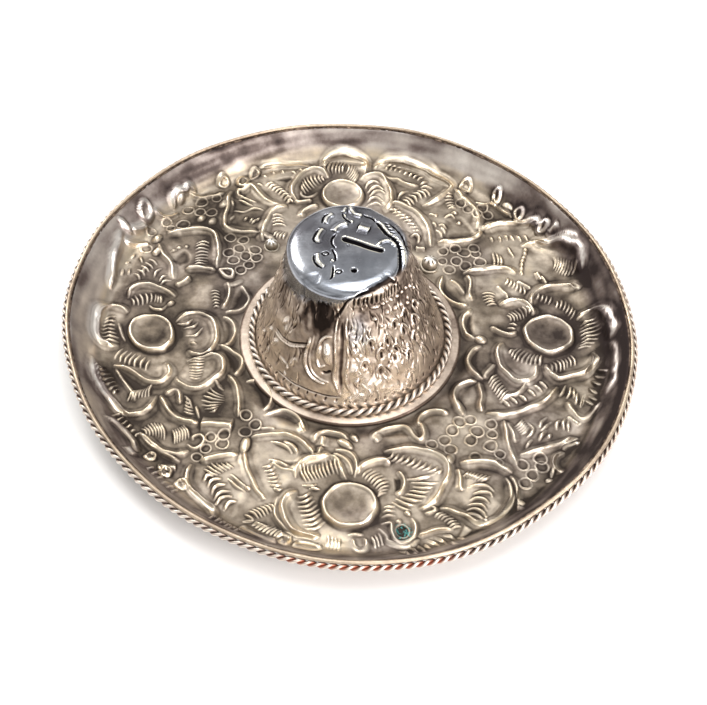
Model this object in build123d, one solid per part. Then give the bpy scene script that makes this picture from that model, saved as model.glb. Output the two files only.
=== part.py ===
from build123d import *
from math import cos, pi, radians, sin, tan
import os

# Ornamental silver sombrero: a round dish-shaped brim, a hollow raised crown soldered to its
# middle, a smooth wire and a twisted two-strand rope round the lip, a second twisted rope round
# the foot of the crown, and two round beads.  Millimetres, +Z up.  The origin is the centre of
# the circle that the flat underside of the brim rests on.

# Driving dimensions
overall_diameter = 140.0
crown_height = 34.5
sheet = 0.8

# Brim
brim_hole_radius = 22.0
brim_floor_corner_radius = 62.0
brim_wall_angle = 55.0
brim_bend_radius = 5.0
lip_height = 9.0

# Flower cups pressed into the brim: a raised ring round a dished middle
cup_count = 4
cup_place_radius = 50.4
cup_radius = 5.4
cup_ring_section = 0.55

# Rim wire and rim rope
rim_wire_diameter = 0.9
rim_strand_diameter = 0.74
rim_rope_turns = 95
rim_rope_drop = 1.1

# Crown
crown_flange_radius = 27.6
crown_foot_radius = 23.9
crown_neck_radius = 14.9
crown_neck_height = 28.0
crown_top_radius = 14.2
crown_shoulder_height = 32.8
crown_bend = 0.8
crown_shoulder_reach = 1.9
crown_shoulder_rise = 1.15

# Crown rope
crown_strand_diameter = 0.96
crown_rope_turns = 33

# Beads: (name, x, y, radius)
beads = [
    ("bead_left", -20.6, 29.8, 1.75),
    ("bead_right", 21.4, 22.9, 2.1),
]

# A bead sinks into its seat until its middle is this share of its radius above the floor
bead_seat_share = 0.92

strand_gap = 0.03
solder_gap = 0.02
spline_steps = 4

half_sheet = sheet / 2


def revolved_sheet(line):
    """A sheet of constant thickness whose middle line is turned round the Z axis."""
    outline = offset(Wire(line.edges()), half_sheet, side=Side.BOTH)
    section = make_face(outline)
    reach = overall_diameter
    right_half = Pos(reach / 2, 0) * Rectangle(reach, 2 * reach)
    return revolve(Plane.XZ * (section & right_half), Axis.Z)


def brim():
    """The dish: a flat floor with a central hole, and a wall that rises to the lip."""
    angle = radians(brim_wall_angle)
    rise = lip_height - half_sheet
    lip_radius = brim_floor_corner_radius + rise / tan(angle)
    floor_and_wall = FilletPolyline(
        (brim_hole_radius + half_sheet, half_sheet),
        (brim_floor_corner_radius, half_sheet),
        (lip_radius, lip_height),
        radius=brim_bend_radius,
    )
    dish = revolved_sheet(floor_and_wall)
    return dish.fuse(*flower_cups()), lip_radius


def flower_cups():
    """Raised rings on the floor, one for each flower."""
    for k in range(cup_count):
        turn = 360 / cup_count * k
        place = Rot(0, 0, turn) * Pos(cup_place_radius, 0, sheet)
        yield place * Torus(cup_radius, cup_ring_section)


def ring(radius, height, wire):
    """A closed ring of round wire."""
    return Pos(0, 0, height) * Torus(radius, wire / 2)


def strand(ring_radius, height, wire, turns, start):
    """One wire of a two-strand twisted rope bent round into a closed ring.

    The wire's middle line winds round the rope's own middle circle.  It is swept half a turn at
    a time, and the swept walls are sewn into one closed solid.
    """
    lay = wire / 2 + strand_gap
    half_turns = 2 * turns
    step = pi / turns

    def point(t):
        roll = turns * t + start
        r = ring_radius + lay * cos(roll)
        return Vector(r * cos(t), r * sin(t), height + lay * sin(roll))

    def heading(t):
        small = 1e-5
        return (point(t + small) - point(t - small)).normalized()

    def inward(t):
        small = 1e-3
        bend = point(t + small) + point(t - small) - point(t) * 2
        along = heading(t)
        return (bend - along * bend.dot(along)).normalized()

    walls = []
    for k in range(half_turns):
        t0 = step * k
        t1 = t0 + step
        places = [point(t0 + (t1 - t0) * j / spline_steps) for j in range(spline_steps + 1)]
        path = Edge.make_spline(places, tangents=[heading(t0), heading(t1)])
        section = Plane(origin=point(t0), x_dir=inward(t0), z_dir=heading(t0)) * Circle(wire / 2)
        piece = sweep(section, path=Wire([path]), is_frenet=True)
        walls += [face for face in piece.faces() if face.geom_type != GeomType.PLANE]
    return Solid(Shell(walls))


def crown():
    """The hollow crown: a flange, a tapering wall, a steeper neck, a shoulder and a low dome."""
    flange_height = sheet + half_sheet + solder_gap
    apex = crown_height - half_sheet
    wall = FilletPolyline(
        (crown_flange_radius - half_sheet, flange_height),
        (crown_foot_radius, flange_height),
        (crown_neck_radius, crown_neck_height),
        (crown_top_radius, crown_shoulder_height),
        radius=crown_bend,
    )
    dome_start_radius = crown_top_radius - crown_shoulder_reach
    dome_start_height = crown_shoulder_height + crown_shoulder_rise
    shoulder = TangentArc(wall @ 1, (dome_start_radius, dome_start_height), tangent=wall % 1)
    dome = ThreePointArc(
        shoulder @ 1,
        (0, apex),
        (-dome_start_radius, dome_start_height),
    )
    return revolved_sheet(wall + shoulder + dome)


def bead(x, y, radius):
    """A round bead with a small flat seat, soldered to the brim's floor."""
    seat_height = sheet + solder_gap
    centre = seat_height + bead_seat_share * radius
    ball = Pos(x, y, centre) * Sphere(radius)
    below = Pos(x, y, seat_height - radius) * Box(4 * radius, 4 * radius, 2 * radius)
    return ball - below


brim_part, lip_radius = brim()
wire_radius = rim_wire_diameter / 2
lean = radians(brim_wall_angle)
wire_reach = half_sheet + wire_radius + solder_gap
rim_wire_ring_radius = lip_radius + wire_reach * cos(lean)
rim_wire_height = lip_height + wire_reach * sin(lean)

rim_rope_radius = rim_strand_diameter + strand_gap
rim_rope_ring_radius = overall_diameter / 2 - rim_rope_radius
rim_rope_height = rim_wire_height - rim_rope_drop

crown_rope_radius = crown_strand_diameter + strand_gap
crown_rope_ring_radius = crown_foot_radius + crown_rope_radius
crown_rope_height = 2 * sheet + 2 * solder_gap + crown_rope_radius

parts = {
    "brim": brim_part,
    "rim_wire": ring(rim_wire_ring_radius, rim_wire_height, rim_wire_diameter),
    "crown": crown(),
}
for number, start in enumerate((0, pi), start=1):
    parts[f"rim_rope_strand_{number}"] = strand(
        rim_rope_ring_radius, rim_rope_height, rim_strand_diameter, rim_rope_turns, start
    )
    parts[f"crown_rope_strand_{number}"] = strand(
        crown_rope_ring_radius, crown_rope_height, crown_strand_diameter, crown_rope_turns, start
    )
for name, x, y, radius in beads:
    parts[name] = bead(x, y, radius)

os.makedirs("parts", exist_ok=True)
for name, shape in parts.items():
    export_step(shape, f"parts/{name}.step")
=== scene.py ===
import math

import bpy
import numpy as np
from mathutils import Matrix, Vector


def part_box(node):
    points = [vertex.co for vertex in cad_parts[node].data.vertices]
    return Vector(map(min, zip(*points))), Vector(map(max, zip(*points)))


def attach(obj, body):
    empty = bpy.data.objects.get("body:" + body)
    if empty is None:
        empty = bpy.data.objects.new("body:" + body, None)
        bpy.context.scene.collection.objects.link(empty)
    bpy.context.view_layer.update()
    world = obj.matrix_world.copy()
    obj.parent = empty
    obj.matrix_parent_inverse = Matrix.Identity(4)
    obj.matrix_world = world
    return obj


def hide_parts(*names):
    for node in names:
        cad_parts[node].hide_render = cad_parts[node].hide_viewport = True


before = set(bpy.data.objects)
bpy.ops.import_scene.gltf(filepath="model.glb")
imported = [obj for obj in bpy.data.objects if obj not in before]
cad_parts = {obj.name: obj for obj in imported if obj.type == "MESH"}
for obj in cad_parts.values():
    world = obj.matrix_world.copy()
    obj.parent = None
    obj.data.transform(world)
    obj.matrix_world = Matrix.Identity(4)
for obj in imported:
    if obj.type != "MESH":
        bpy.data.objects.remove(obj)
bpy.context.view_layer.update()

# Lengths below are millimetres unless a name says metres; MM turns them into Blender's metres.
MM = 0.001
rng = np.random.default_rng(11)


def cad_box_mm(node):
    """Lowest and highest corners of a CAD node, in millimetres."""
    low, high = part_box(node)
    return np.array(low) / MM, np.array(high) / MM


# The frame's own sizes
_, BRIM_HIGH = cad_box_mm("brim")
WIRE_LOW, WIRE_HIGH = cad_box_mm("rim_wire")
_, CROWN_HIGH = cad_box_mm("crown")
HALF_SHEET = 0.4

# Brim section: flat floor, a bend, and a straight wall up to the lip
HOLE_RADIUS = 22.4
FLOOR_CORNER_RADIUS = 62.0
WALL_ANGLE = math.radians(55)
BEND_RADIUS = 5.0
LIP_HEIGHT = 9.0

# Chased field of the brim
FIELD_INNER_RADIUS = 28.5
FIELD_OUTER_RADIUS = 60.0
FIELD_RISE = 0.75

# Crown section, as radii and heights of the sheet's middle line
CROWN_FLANGE_RADIUS = 27.6
CROWN_FOOT_RADIUS = 23.9
CROWN_NECK_RADIUS = 14.9
CROWN_NECK_HEIGHT = 28.0
CROWN_TOP_RADIUS = 14.2
CROWN_SHOULDER_HEIGHT = 32.8
CROWN_DOME_RADIUS = 11.0
CROWN_DOME_HEIGHT = 34.05
CROWN_FLANGE_HEIGHT = 1.22

# How far the crown's top stands to the left of its foot
CROWN_LEAN_X = -0.9

# The crown's wall is unrolled at this radius, and its ornament stands on this height
CROWN_UNROLL_RADIUS = 19.0
CROWN_ORNAMENT_FOOT = 2.0

# How often the two wires of each rope wind round each other
RIM_ROPE_TURNS = 95
CROWN_ROPE_TURNS = 33

# Chasing: how deep a tool can sink the metal, and the patina of a flat, untouched place
DEEPEST_CUT = 0.62
FLAT_PATINA = 0.43


# ---------------------------------------------------------------- chased height maps

def smooth(t):
    """0 to 1 with soft ends."""
    t = np.clip(t, 0, 1)
    return t * t * (3 - 2 * t)


def curve(points, closed=False, pieces=5):
    """A smooth line through the points (Catmull-Rom)."""
    p = np.array(points, float)
    if len(p) == 2:
        return p
    if closed:
        p = np.vstack([p[-1], p, p[0], p[1]])
    else:
        p = np.vstack([2 * p[0] - p[1], p, 2 * p[-1] - p[-2]])
    t = np.linspace(0, 1, pieces, endpoint=False)[:, None]
    spans = []
    for a, b, c, d in zip(p[:-3], p[1:-2], p[2:-1], p[3:]):
        bend = (2 * a - 5 * b + 4 * c - d) * t ** 2 + (3 * b - a - 3 * c + d) * t ** 3
        spans.append(b + ((c - a) * t + bend) / 2)
    spans.append(p[-2][None])
    return np.vstack(spans)


def evenly(points, count):
    """count points spread evenly along the smooth line."""
    line = curve(points)
    lengths = np.hypot(*np.diff(line, axis=0).T)
    reach = np.concatenate([[0], np.cumsum(lengths)])
    wanted = np.linspace(0, reach[-1], count)
    return np.stack([np.interp(wanted, reach, line[:, k]) for k in (0, 1)], 1)


def nearest(line, x, y):
    """Distance from each point to the line, and how far along it the nearest place is."""
    lengths = np.hypot(*np.diff(line, axis=0).T) + 1e-9
    best = np.full(x.shape, 1e9)
    along = np.zeros(x.shape)
    start = 0.0
    for (ax, ay), (bx, by), length in zip(line[:-1], line[1:], lengths):
        dx, dy = bx - ax, by - ay
        t = np.clip(((x - ax) * dx + (y - ay) * dy) / length ** 2, 0, 1)
        gap = (x - ax - t * dx) ** 2 + (y - ay - t * dy) ** 2
        closer = gap < best
        best = np.where(closer, gap, best)
        along = np.where(closer, start + t * length, along)
        start += length
    return np.sqrt(best), along / start


def inside(line, x, y):
    """True where a point lies inside the closed line."""
    result = np.zeros(x.shape, bool)
    for (ax, ay), (bx, by) in zip(line, np.roll(line, -1, 0)):
        if ay != by:
            crosses = ((ay > y) != (by > y)) & (x < (bx - ax) * (y - ay) / (by - ay) + ax)
            result ^= crosses
    return result


class Metal:
    """A height map of the chasing on a flat development of a sheet."""

    def __init__(self, left, bottom, width, height, cell):
        self.left, self.bottom, self.cell = left, bottom, cell
        shape = (int(height / cell) + 1, int(width / cell) + 1)
        self.field = np.zeros(shape)
        self.bank = np.zeros(shape)
        self.crest = np.zeros(shape)
        self.cut = np.zeros(shape)
        self.tone_shift = np.zeros(shape)

    def window(self, line, margin):
        """The part of the map round a line, and the places of its cells."""
        low = (line.min(0) - margin - (self.left, self.bottom)) / self.cell
        high = (line.max(0) + margin - (self.left, self.bottom)) / self.cell
        rows, columns = self.field.shape
        x0, x1 = max(0, int(low[0])), min(columns, int(high[0]) + 2)
        y0, y1 = max(0, int(low[1])), min(rows, int(high[1]) + 2)
        x, y = np.meshgrid(np.arange(x0, x1), np.arange(y0, y1))
        area = (slice(y0, max(y0, y1)), slice(x0, max(x0, x1)))
        return area, x * self.cell + self.left, y * self.cell + self.bottom

    def profile(self, points, width, taper, closed):
        """A rounded section of this width along the line, thinner towards its ends."""
        line = curve(points, closed)
        area, x, y = self.window(line, width)
        distance, along = nearest(line, x, y)
        swell = np.ones(x.shape)
        if taper and not closed:
            swell = np.clip(np.minimum(along, 1 - along) / taper, 0, 1) ** 0.6
        half = width / 2 * (0.45 + 0.55 * swell)
        return area, swell * np.clip(1 - (distance / half) ** 2, 0, 1) ** 1.4

    def ridge(self, points, width=1.5, height=0.95, taper=0.12, closed=False):
        """A raised rounded line on a broad soft bank."""
        area, shape = self.profile(points, 2.1 * width, taper, closed)
        self.bank[area] = np.maximum(self.bank[area], 0.55 * height * shape)
        self.line(points, 0.8 * width, 0.5 * height, taper, closed)

    def line(self, points, width, height, taper=0.12, closed=False):
        """A raised rounded line that stands straight on the field."""
        area, shape = self.profile(points, width, taper, closed)
        self.crest[area] = np.maximum(self.crest[area], height * shape)

    def stroke(self, points, width=0.62, height=0.5):
        """A short thin crest that fades at both ends."""
        self.line(points, 1.4 * width, 1.15 * height, 0.4)

    def groove(self, points, width=0.7, depth=0.35, taper=0.2, closed=False):
        """A line struck into the metal."""
        area, shape = self.profile(points, width, taper, closed)
        self.cut[area] = np.maximum(self.cut[area], depth * shape)

    def comb(self, heads, tails, count, bow=0.35, width=0.62, height=0.5):
        """A row of crescent strokes from one guide line to the other."""
        for head, tail in zip(evenly(heads, count), evenly(tails, count)):
            across = tail - head
            side = np.array([-across[1], across[0]]) / np.hypot(*across)
            self.stroke([head, (head + tail) / 2 + bow * side, tail], width, height)

    def fill(self, outline, height, soft=2.0, closed=False):
        """Raises (or sinks) the metal inside an outline, easing in from its edge."""
        line = curve(outline, closed)
        area, x, y = self.window(line, 0.2)
        distance, _ = nearest(np.vstack([line, line[0]]), x, y)
        self.field[area] += height * smooth(distance / soft) * inside(line, x, y)

    def lobe(self, points, width=1.7, height=1.0, fill=0.35, soft=2.6):
        """A petal or leaf: its raised outline and the swell of the metal inside it."""
        self.ridge(points, width, height)
        self.fill(points, fill, soft)
        if fill > 0:
            self.shelve(points, 0.35 * height)

    def shelve(self, points, height, reach=4.0):
        """Slopes the inside of a lobe down from its raised edge towards its root."""
        line = curve(points)
        area, x, y = self.window(line, 0.2)
        edge, _ = nearest(line, x, y)
        root, _ = nearest(line[[0, -1]], x, y)
        slope = (1 - smooth(edge / reach)) * smooth(root / 2) * inside(line, x, y)
        self.field[area] += height * slope

    def clear(self, x0, y0, radius_x, radius_y, angle=0.0):
        """Wipes what lies under an oval, for a piece that overlaps what was drawn before."""
        area, _, _, reach = self.oval(x0, y0, radius_x, radius_y, angle)
        keep = smooth((reach - 0.95) / 0.15)
        for layer in (self.field, self.bank, self.crest, self.cut):
            layer[area] *= keep

    def oval(self, x0, y0, radius_x, radius_y, angle):
        """The cells round an oval, and how far out each one is: 1 on its edge."""
        area, x, y = self.window(np.array([[x0, y0]]), 1.5 * max(radius_x, radius_y))
        c, s = math.cos(math.radians(angle)), math.sin(math.radians(angle))
        u = ((x - x0) * c + (y - y0) * s) / radius_x
        v = ((y - y0) * c - (x - x0) * s) / radius_y
        return area, x, y, np.hypot(u, v)

    def dome(self, x0, y0, radius_x, radius_y=None, angle=0.0, height=0.8):
        """A raised boss."""
        area, _, _, reach = self.oval(x0, y0, radius_x, radius_y or radius_x, angle)
        shape = np.clip(1 - reach ** 2, 0, 1) ** 0.75
        self.crest[area] = np.maximum(self.crest[area], height * shape)

    def punch(self, x0, y0, radius=1.4, depth=0.13):
        """A ring punch: a round sunk spot with a fine raised rim, struck harder on its near side."""
        area, x, y, reach = self.oval(x0, y0, radius, radius, 0)
        self.field[area] -= depth * smooth((1 - reach) / 0.4)
        rim = np.clip(1 - ((reach - 1) * radius / 0.28) ** 2, 0, 1)
        lean = 0.72 - 0.28 * (y - y0) / (np.hypot(x - x0, y - y0) + 0.01)
        self.crest[area] = np.maximum(self.crest[area], 0.3 * rim * lean)

    def cup(self, x0, y0, radius_x, radius_y, angle=0.0, rise=1.05, rim=0.55):
        """The middle of a flower: a raised ring round a shallow dished disc."""
        self.clear(x0, y0, radius_x, radius_y, angle)
        area, _, _, reach = self.oval(x0, y0, radius_x, radius_y, angle)
        mean = (radius_x + radius_y) / 2
        body = rise * smooth((1.1 - reach) / 0.2)
        dish = 0.95 * np.clip(1 - (reach / 0.86) ** 2, 0, 1) ** 0.9
        self.field[area] += body - dish
        # The dish comes out a little darker.
        self.tone_shift[area] -= 0.01 * smooth((0.86 - reach) / 0.1)
        ring = np.clip(1 - ((reach - 0.91) * mean / rim) ** 2, 0, 1)
        self.crest[area] = np.maximum(self.crest[area], 0.32 * ring)

    def hook(self, points, width=1.3, height=0.9):
        """A closed loop with a hollow middle: a bud or eyelet."""
        self.line(points, width, 0.75 * height, closed=True)
        self.fill(points, 0.25, 0.5, closed=True)

    def noise(self, size):
        """Smooth random values with a spread of one and features of this size."""
        grid = self.blurred(rng.standard_normal(self.field.shape), size)
        return grid / grid.std()

    def blurred(self, grid, size):
        """The grid without features smaller than this size."""
        rows, columns = grid.shape
        fy = np.fft.fftfreq(rows, self.cell)[:, None]
        fx = np.fft.rfftfreq(columns, self.cell)[None]
        keep = np.exp(-2 * (math.pi * size) ** 2 * (fx ** 2 + fy ** 2))
        return np.fft.irfft2(np.fft.rfft2(grid) * keep, grid.shape)

    def finish(self, base=0.0, fine=0.45, broad=1.9, contrast=1.0, wobble=0.0, clouds=1.0):
        """Adds everything up, as uneven as hand work, and works out where dirt stays and hands polish.
        Broad low ground beside raised work is darkened partly as tarnish, partly as painted shade.
        """
        self.crest *= np.clip(1 + 0.24 * self.noise(0.8), 0.5, 1.5)
        self.bank *= np.clip(1 + 0.2 * self.noise(1.5), 0.5, 1.4)
        height = base + self.field + self.bank + self.crest - self.cut
        x = self.left + self.cell * np.arange(height.shape[1])[None] + wobble * self.noise(1.2)
        y = self.bottom + self.cell * np.arange(height.shape[0])[:, None] + wobble * self.noise(1.2)
        self.height = np.maximum(self.sample(height, x, y), -DEEPEST_CUT)
        near = self.height - self.blurred(self.height, fine)
        near = near + 0.9 * (self.height - self.blurred(self.height, 0.2))
        # far: broad low ground next to raised work comes out darker, partly tarnish, partly painted
        # shade.
        far = self.height - self.blurred(self.height, broad)
        near = np.where(near > 0, 0.7 * near, near)
        cloud = 0.05 * self.noise(5) + 0.04 * self.noise(2.2) + 0.03 * self.noise(0.9)
        self.patina = np.clip(FLAT_PATINA + contrast * near + 0.42 * far + clouds * cloud + self.tone_shift,
                              0, 1)

    def sample(self, grid, x, y):
        """Values of a grid at these places."""
        rows, columns = grid.shape
        u = np.clip((x - self.left) / self.cell, 0, columns - 1.001)
        v = np.clip((y - self.bottom) / self.cell, 0, rows - 1.001)
        i, j = v.astype(int), u.astype(int)
        a, b = v - i, u - j
        top = grid[i, j] * (1 - b) + grid[i, j + 1] * b
        low = grid[i + 1, j] * (1 - b) + grid[i + 1, j + 1] * b
        return top * (1 - a) + low * a


# ---------------------------------------------------------------- ornament of the brim

def left_flower(m):
    m.lobe([(-56.5, 6.8), (-58.5, 8.2), (-61.5, 8.6), (-64, 6.8), (-64.4, 3), (-64.3, -0.5), (-63.5, -3),
            (-61, -4.2), (-58, -3.6)])
    m.comb([(-62.2, 3.8), (-62.8, -1.2), (-61.5, -3)], [(-59.3, 5.4), (-59, 1), (-58, -1), (-58, -2.7)],
           7)
    m.stroke([(-58.5, 3.5), (-57.5, 0), (-56.5, -2.3)], 0.9)
    m.lobe([(-57.2, 11.5), (-56.8, 14), (-55, 16), (-52.5, 16.4), (-49.5, 15.2), (-46.5, 13.5),
            (-45, 12.2)])
    m.comb([(-56.5, 11.8), (-54.5, 13), (-51.5, 13.3)], [(-55.5, 9), (-53.5, 9), (-51, 10.2)], 5)
    m.comb([(-50, 13), (-48.8, 12.6)], [(-50, 10.2), (-48.6, 10)], 3, 0.2)
    m.stroke([(-51.5, 9.3), (-50, 8.2), (-48, 8.3), (-46.8, 9.8)], 0.8)
    m.dome(-46, 10, 1.1, 0.8, 40, 0.6)
    m.lobe([(-44.3, 3.5), (-42.5, 5.5), (-39.5, 6.5), (-37, 5.8), (-35, 4), (-33.8, 1), (-33.4, -2),
            (-34.3, -4.8), (-36.5, -6.8), (-39, -6.8), (-40.7, -5)], fill=0.5)
    m.stroke([(-44, 3.2), (-41.5, 2.7), (-39.8, 4.3)])
    m.stroke([(-42.2, 1.4), (-40, 1.6), (-38.5, 3.2)])
    m.stroke([(-41.5, -0.8), (-39, -1), (-37.2, 1.8)])
    m.stroke([(-40.3, -3), (-38.5, -3.8)])
    m.lobe([(-43.3, -13.2), (-42.5, -15.5), (-40, -17.2), (-37, -17.4), (-34, -15.6), (-32, -13),
            (-31.3, -10), (-32, -7.8), (-34, -6.9), (-36, -7.3), (-40.5, -9)])
    m.comb([(-39.8, -8.3), (-39.8, -11), (-39.5, -14)], [(-36, -8.2), (-36, -11), (-36.8, -14.2)], 8,
           -0.5)
    m.lobe([(-58.5, -9.8), (-55, -11.5), (-51.5, -14), (-48.5, -15.4), (-46, -15.2), (-44.6, -13),
            (-44.8, -10.5), (-46, -8.9)])
    m.comb([(-58.3, -8), (-55.5, -9.8), (-52, -11.2), (-50.5, -11.8)],
           [(-57, -4.4), (-54.5, -5.7), (-51.5, -7), (-50, -8)], 7, 0.4)
    m.cup(-50, 0, 6.6, 5.6, -50)


def left_leaves(m):
    m.lobe([(-63.3, -9.5), (-62.5, -15), (-60.5, -19), (-57, -23), (-53.5, -25), (-50.5, -24.8),
            (-48.3, -23), (-47.3, -20.5), (-47.2, -18.7)])
    m.comb([(-62, -13), (-61, -16), (-59.5, -18), (-57.5, -19.3)],
           [(-60.3, -11.5), (-58.5, -13.5), (-57, -15.5), (-56.3, -17.3)], 7)
    m.comb([(-53.8, -21), (-49, -19.5)], [(-52, -17.5), (-48.6, -15.9)], 7)
    m.ridge([(-58, -11), (-53.5, -18), (-52, -21)], 1.0, 0.6)
    m.ridge([(-46.2, -18.8), (-45.5, -21), (-43.5, -24), (-41, -26.2), (-38.5, -27), (-36.5, -26.8)])
    m.ridge([(-45, -19), (-43, -17.5), (-41.8, -18.5), (-41.5, -21.5)], 1.1, 0.7)
    m.comb([(-40, -19.5), (-40.2, -23.5)], [(-38.4, -20.5), (-37.6, -24.5)], 5, -0.4)
    m.stroke([(-40.5, -19), (-39, -20.5), (-38, -23)])
    m.stroke([(-37.3, -22), (-36.6, -25.8)], 0.8)
    m.comb([(-34.3, -17), (-35.8, -19), (-36.3, -21.5), (-34.5, -24)],
           [(-31, -19.3), (-31, -21.3), (-32, -23)], 7, -0.5)
    m.comb([(-33.6, -14.6), (-33, -15.4)], [(-31.2, -16.6), (-30.8, -17.8)], 3, -0.2)
    m.ridge([(-30.5, -13), (-29.5, -14.3), (-28.3, -16), (-27.3, -19), (-27, -21), (-27.3, -25.5)], 1.3,
            0.8)
    m.ridge([(-36.3, -27.3), (-32, -27.7), (-28.2, -27.9)], 2.2, 1.1, 0.05)
    m.lobe([(-32.5, 5.5), (-29.8, 4), (-29, 1), (-30, -2.5), (-32, -4)], 1.0, 0.6, -0.3)
    m.ridge([(-31.8, 17.5), (-31, 14), (-31.5, 11), (-33, 8)], 1.2, 0.8)
    m.comb([(-35.8, 14), (-35.2, 8.5)], [(-33.4, 13.6), (-33.6, 8.6)], 6, 0.3)
    m.lobe([(-28, 16), (-26.2, 13), (-26.4, 10.5), (-28, 8.5), (-32, 7)], 1.0, 0.6, -0.4)


def back_left_field(m):
    m.dome(-59.3, 32.8, 1.9, 1.0, -28, 0.9)
    m.ridge([(-58, 33), (-56, 34.5), (-54.5, 36.5)], 1.2, 0.8)
    m.hook([(-56, 38), (-55.6, 40.6), (-54.4, 41.5), (-53.5, 39.6), (-54.4, 37.4)])
    m.ridge([(-53.5, 40.8), (-51, 40.3), (-48.5, 41), (-46.5, 42.5)], 1.2, 0.8)
    m.ridge([(-47.8, 43.2), (-48.2, 45.5), (-47, 47.8), (-45, 49), (-43.8, 50.3), (-42, 49.5)], 1.4)
    m.ridge([(-44, 49), (-42, 48.3), (-40, 48.2), (-38, 49), (-36, 49.7), (-34.5, 50.3)], 1.2, 0.8)
    m.dome(-46.2, 46.4, 1.6, 0.9, 65, 0.8)
    for x, y, radius in ((-40.4, 46.3, 1.5), (-43.8, 43.6, 1.5), (-36.3, 48, 1.3), (-44.8, 37.8, 1.8),
                         (-49.3, 38.7, 1.3), (-48, 36.3, 1.2), (-53.2, 35, 1.2), (-54, 29, 1.4),
                         (-40.5, 42.6, 1.4), (-37.3, 42.4, 1.5)):
        m.punch(x, y, radius)
    for x, y in ((-34.5, 45.5), (-40, 39.8), (-37, 38.8), (-51.5, 32.5), (-51, 28)):
        m.dome(x, y, 1.7, 1.2, 60, 0.75)
    m.lobe([(-49, 34.5), (-46, 35), (-43, 35.6), (-40, 35.8), (-37.5, 35.4), (-35.8, 34), (-35, 31),
            (-34.6, 28), (-34.5, 25), (-34.8, 21.5)], 2.0, 1.05, 0.2)
    m.comb([(-40.8, 30.5), (-40.8, 23.3)], [(-37.2, 30.6), (-37.2, 23.6)], 8, 0.4)
    m.dome(-45.5, 29.3, 0.6, height=0.5)
    m.dome(-43.5, 29.5, 0.6, height=0.5)
    m.stroke([(-47.2, 27.8), (-45.8, 28.6)])
    m.fill([(-47.5, 24), (-44.5, 28.3), (-42, 27.5), (-42, 24), (-44.5, 22.8)], -0.4, 1.5)
    m.ridge([(-43, 21.5), (-40, 22), (-37.5, 21.8), (-35, 21)], 1.6)
    m.hook([(-34, 21.2), (-32, 21.3), (-30.6, 20.3), (-30.8, 18.9), (-32.6, 19.2)])
    m.ridge([(-45.5, 16), (-43, 17.5), (-41.5, 19)], 1.2, 0.8)
    m.ridge([(-51, 31), (-49.5, 28), (-48, 25), (-46.5, 22.5), (-46, 18)], 1.3, 0.85)
    for line in ([(-51.3, 18.7), (-50.8, 20.8), (-49.3, 22.2)], [(-49.7, 17.5), (-49, 19), (-47.6, 19.6)],
                 [(-49.3, 16), (-48.3, 17.6), (-46.3, 17.8)], [(-56.9, 27), (-57.7, 25.3)],
                 [(-58, 24.2), (-58.9, 23.3)], [(-59.2, 21.5), (-59.5, 19.2)],
                 [(-57.5, 22), (-57.9, 19.6)], [(-55.5, 26), (-54.6, 23.8)],
                 [(-54, 22.2), (-54.2, 19.5)]):
        m.stroke(line)
    m.lobe([(-60, 31), (-61.5, 26), (-62, 22), (-61.8, 18), (-62, 14)], 1.3, 0.85, 0)
    m.ridge([(-59.5, 29), (-56, 30.2), (-53.5, 31)], 1.2, 0.8)
    m.comb([(-56.5, 20.5), (-53, 25.5)], [(-54.6, 17.6), (-50.8, 23)], 5, 0.3)
    for x, y in ((-31.8, 33), (-28.2, 32), (-29.2, 28.8), (-27.5, 26.3), (-25, 28.5), (-24.5, 25.7),
                 (-30.7, 24.6), (-26.5, 23.2), (-28.6, 21.2), (-32, 27.3)):
        m.punch(x, y, 1.45)


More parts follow.
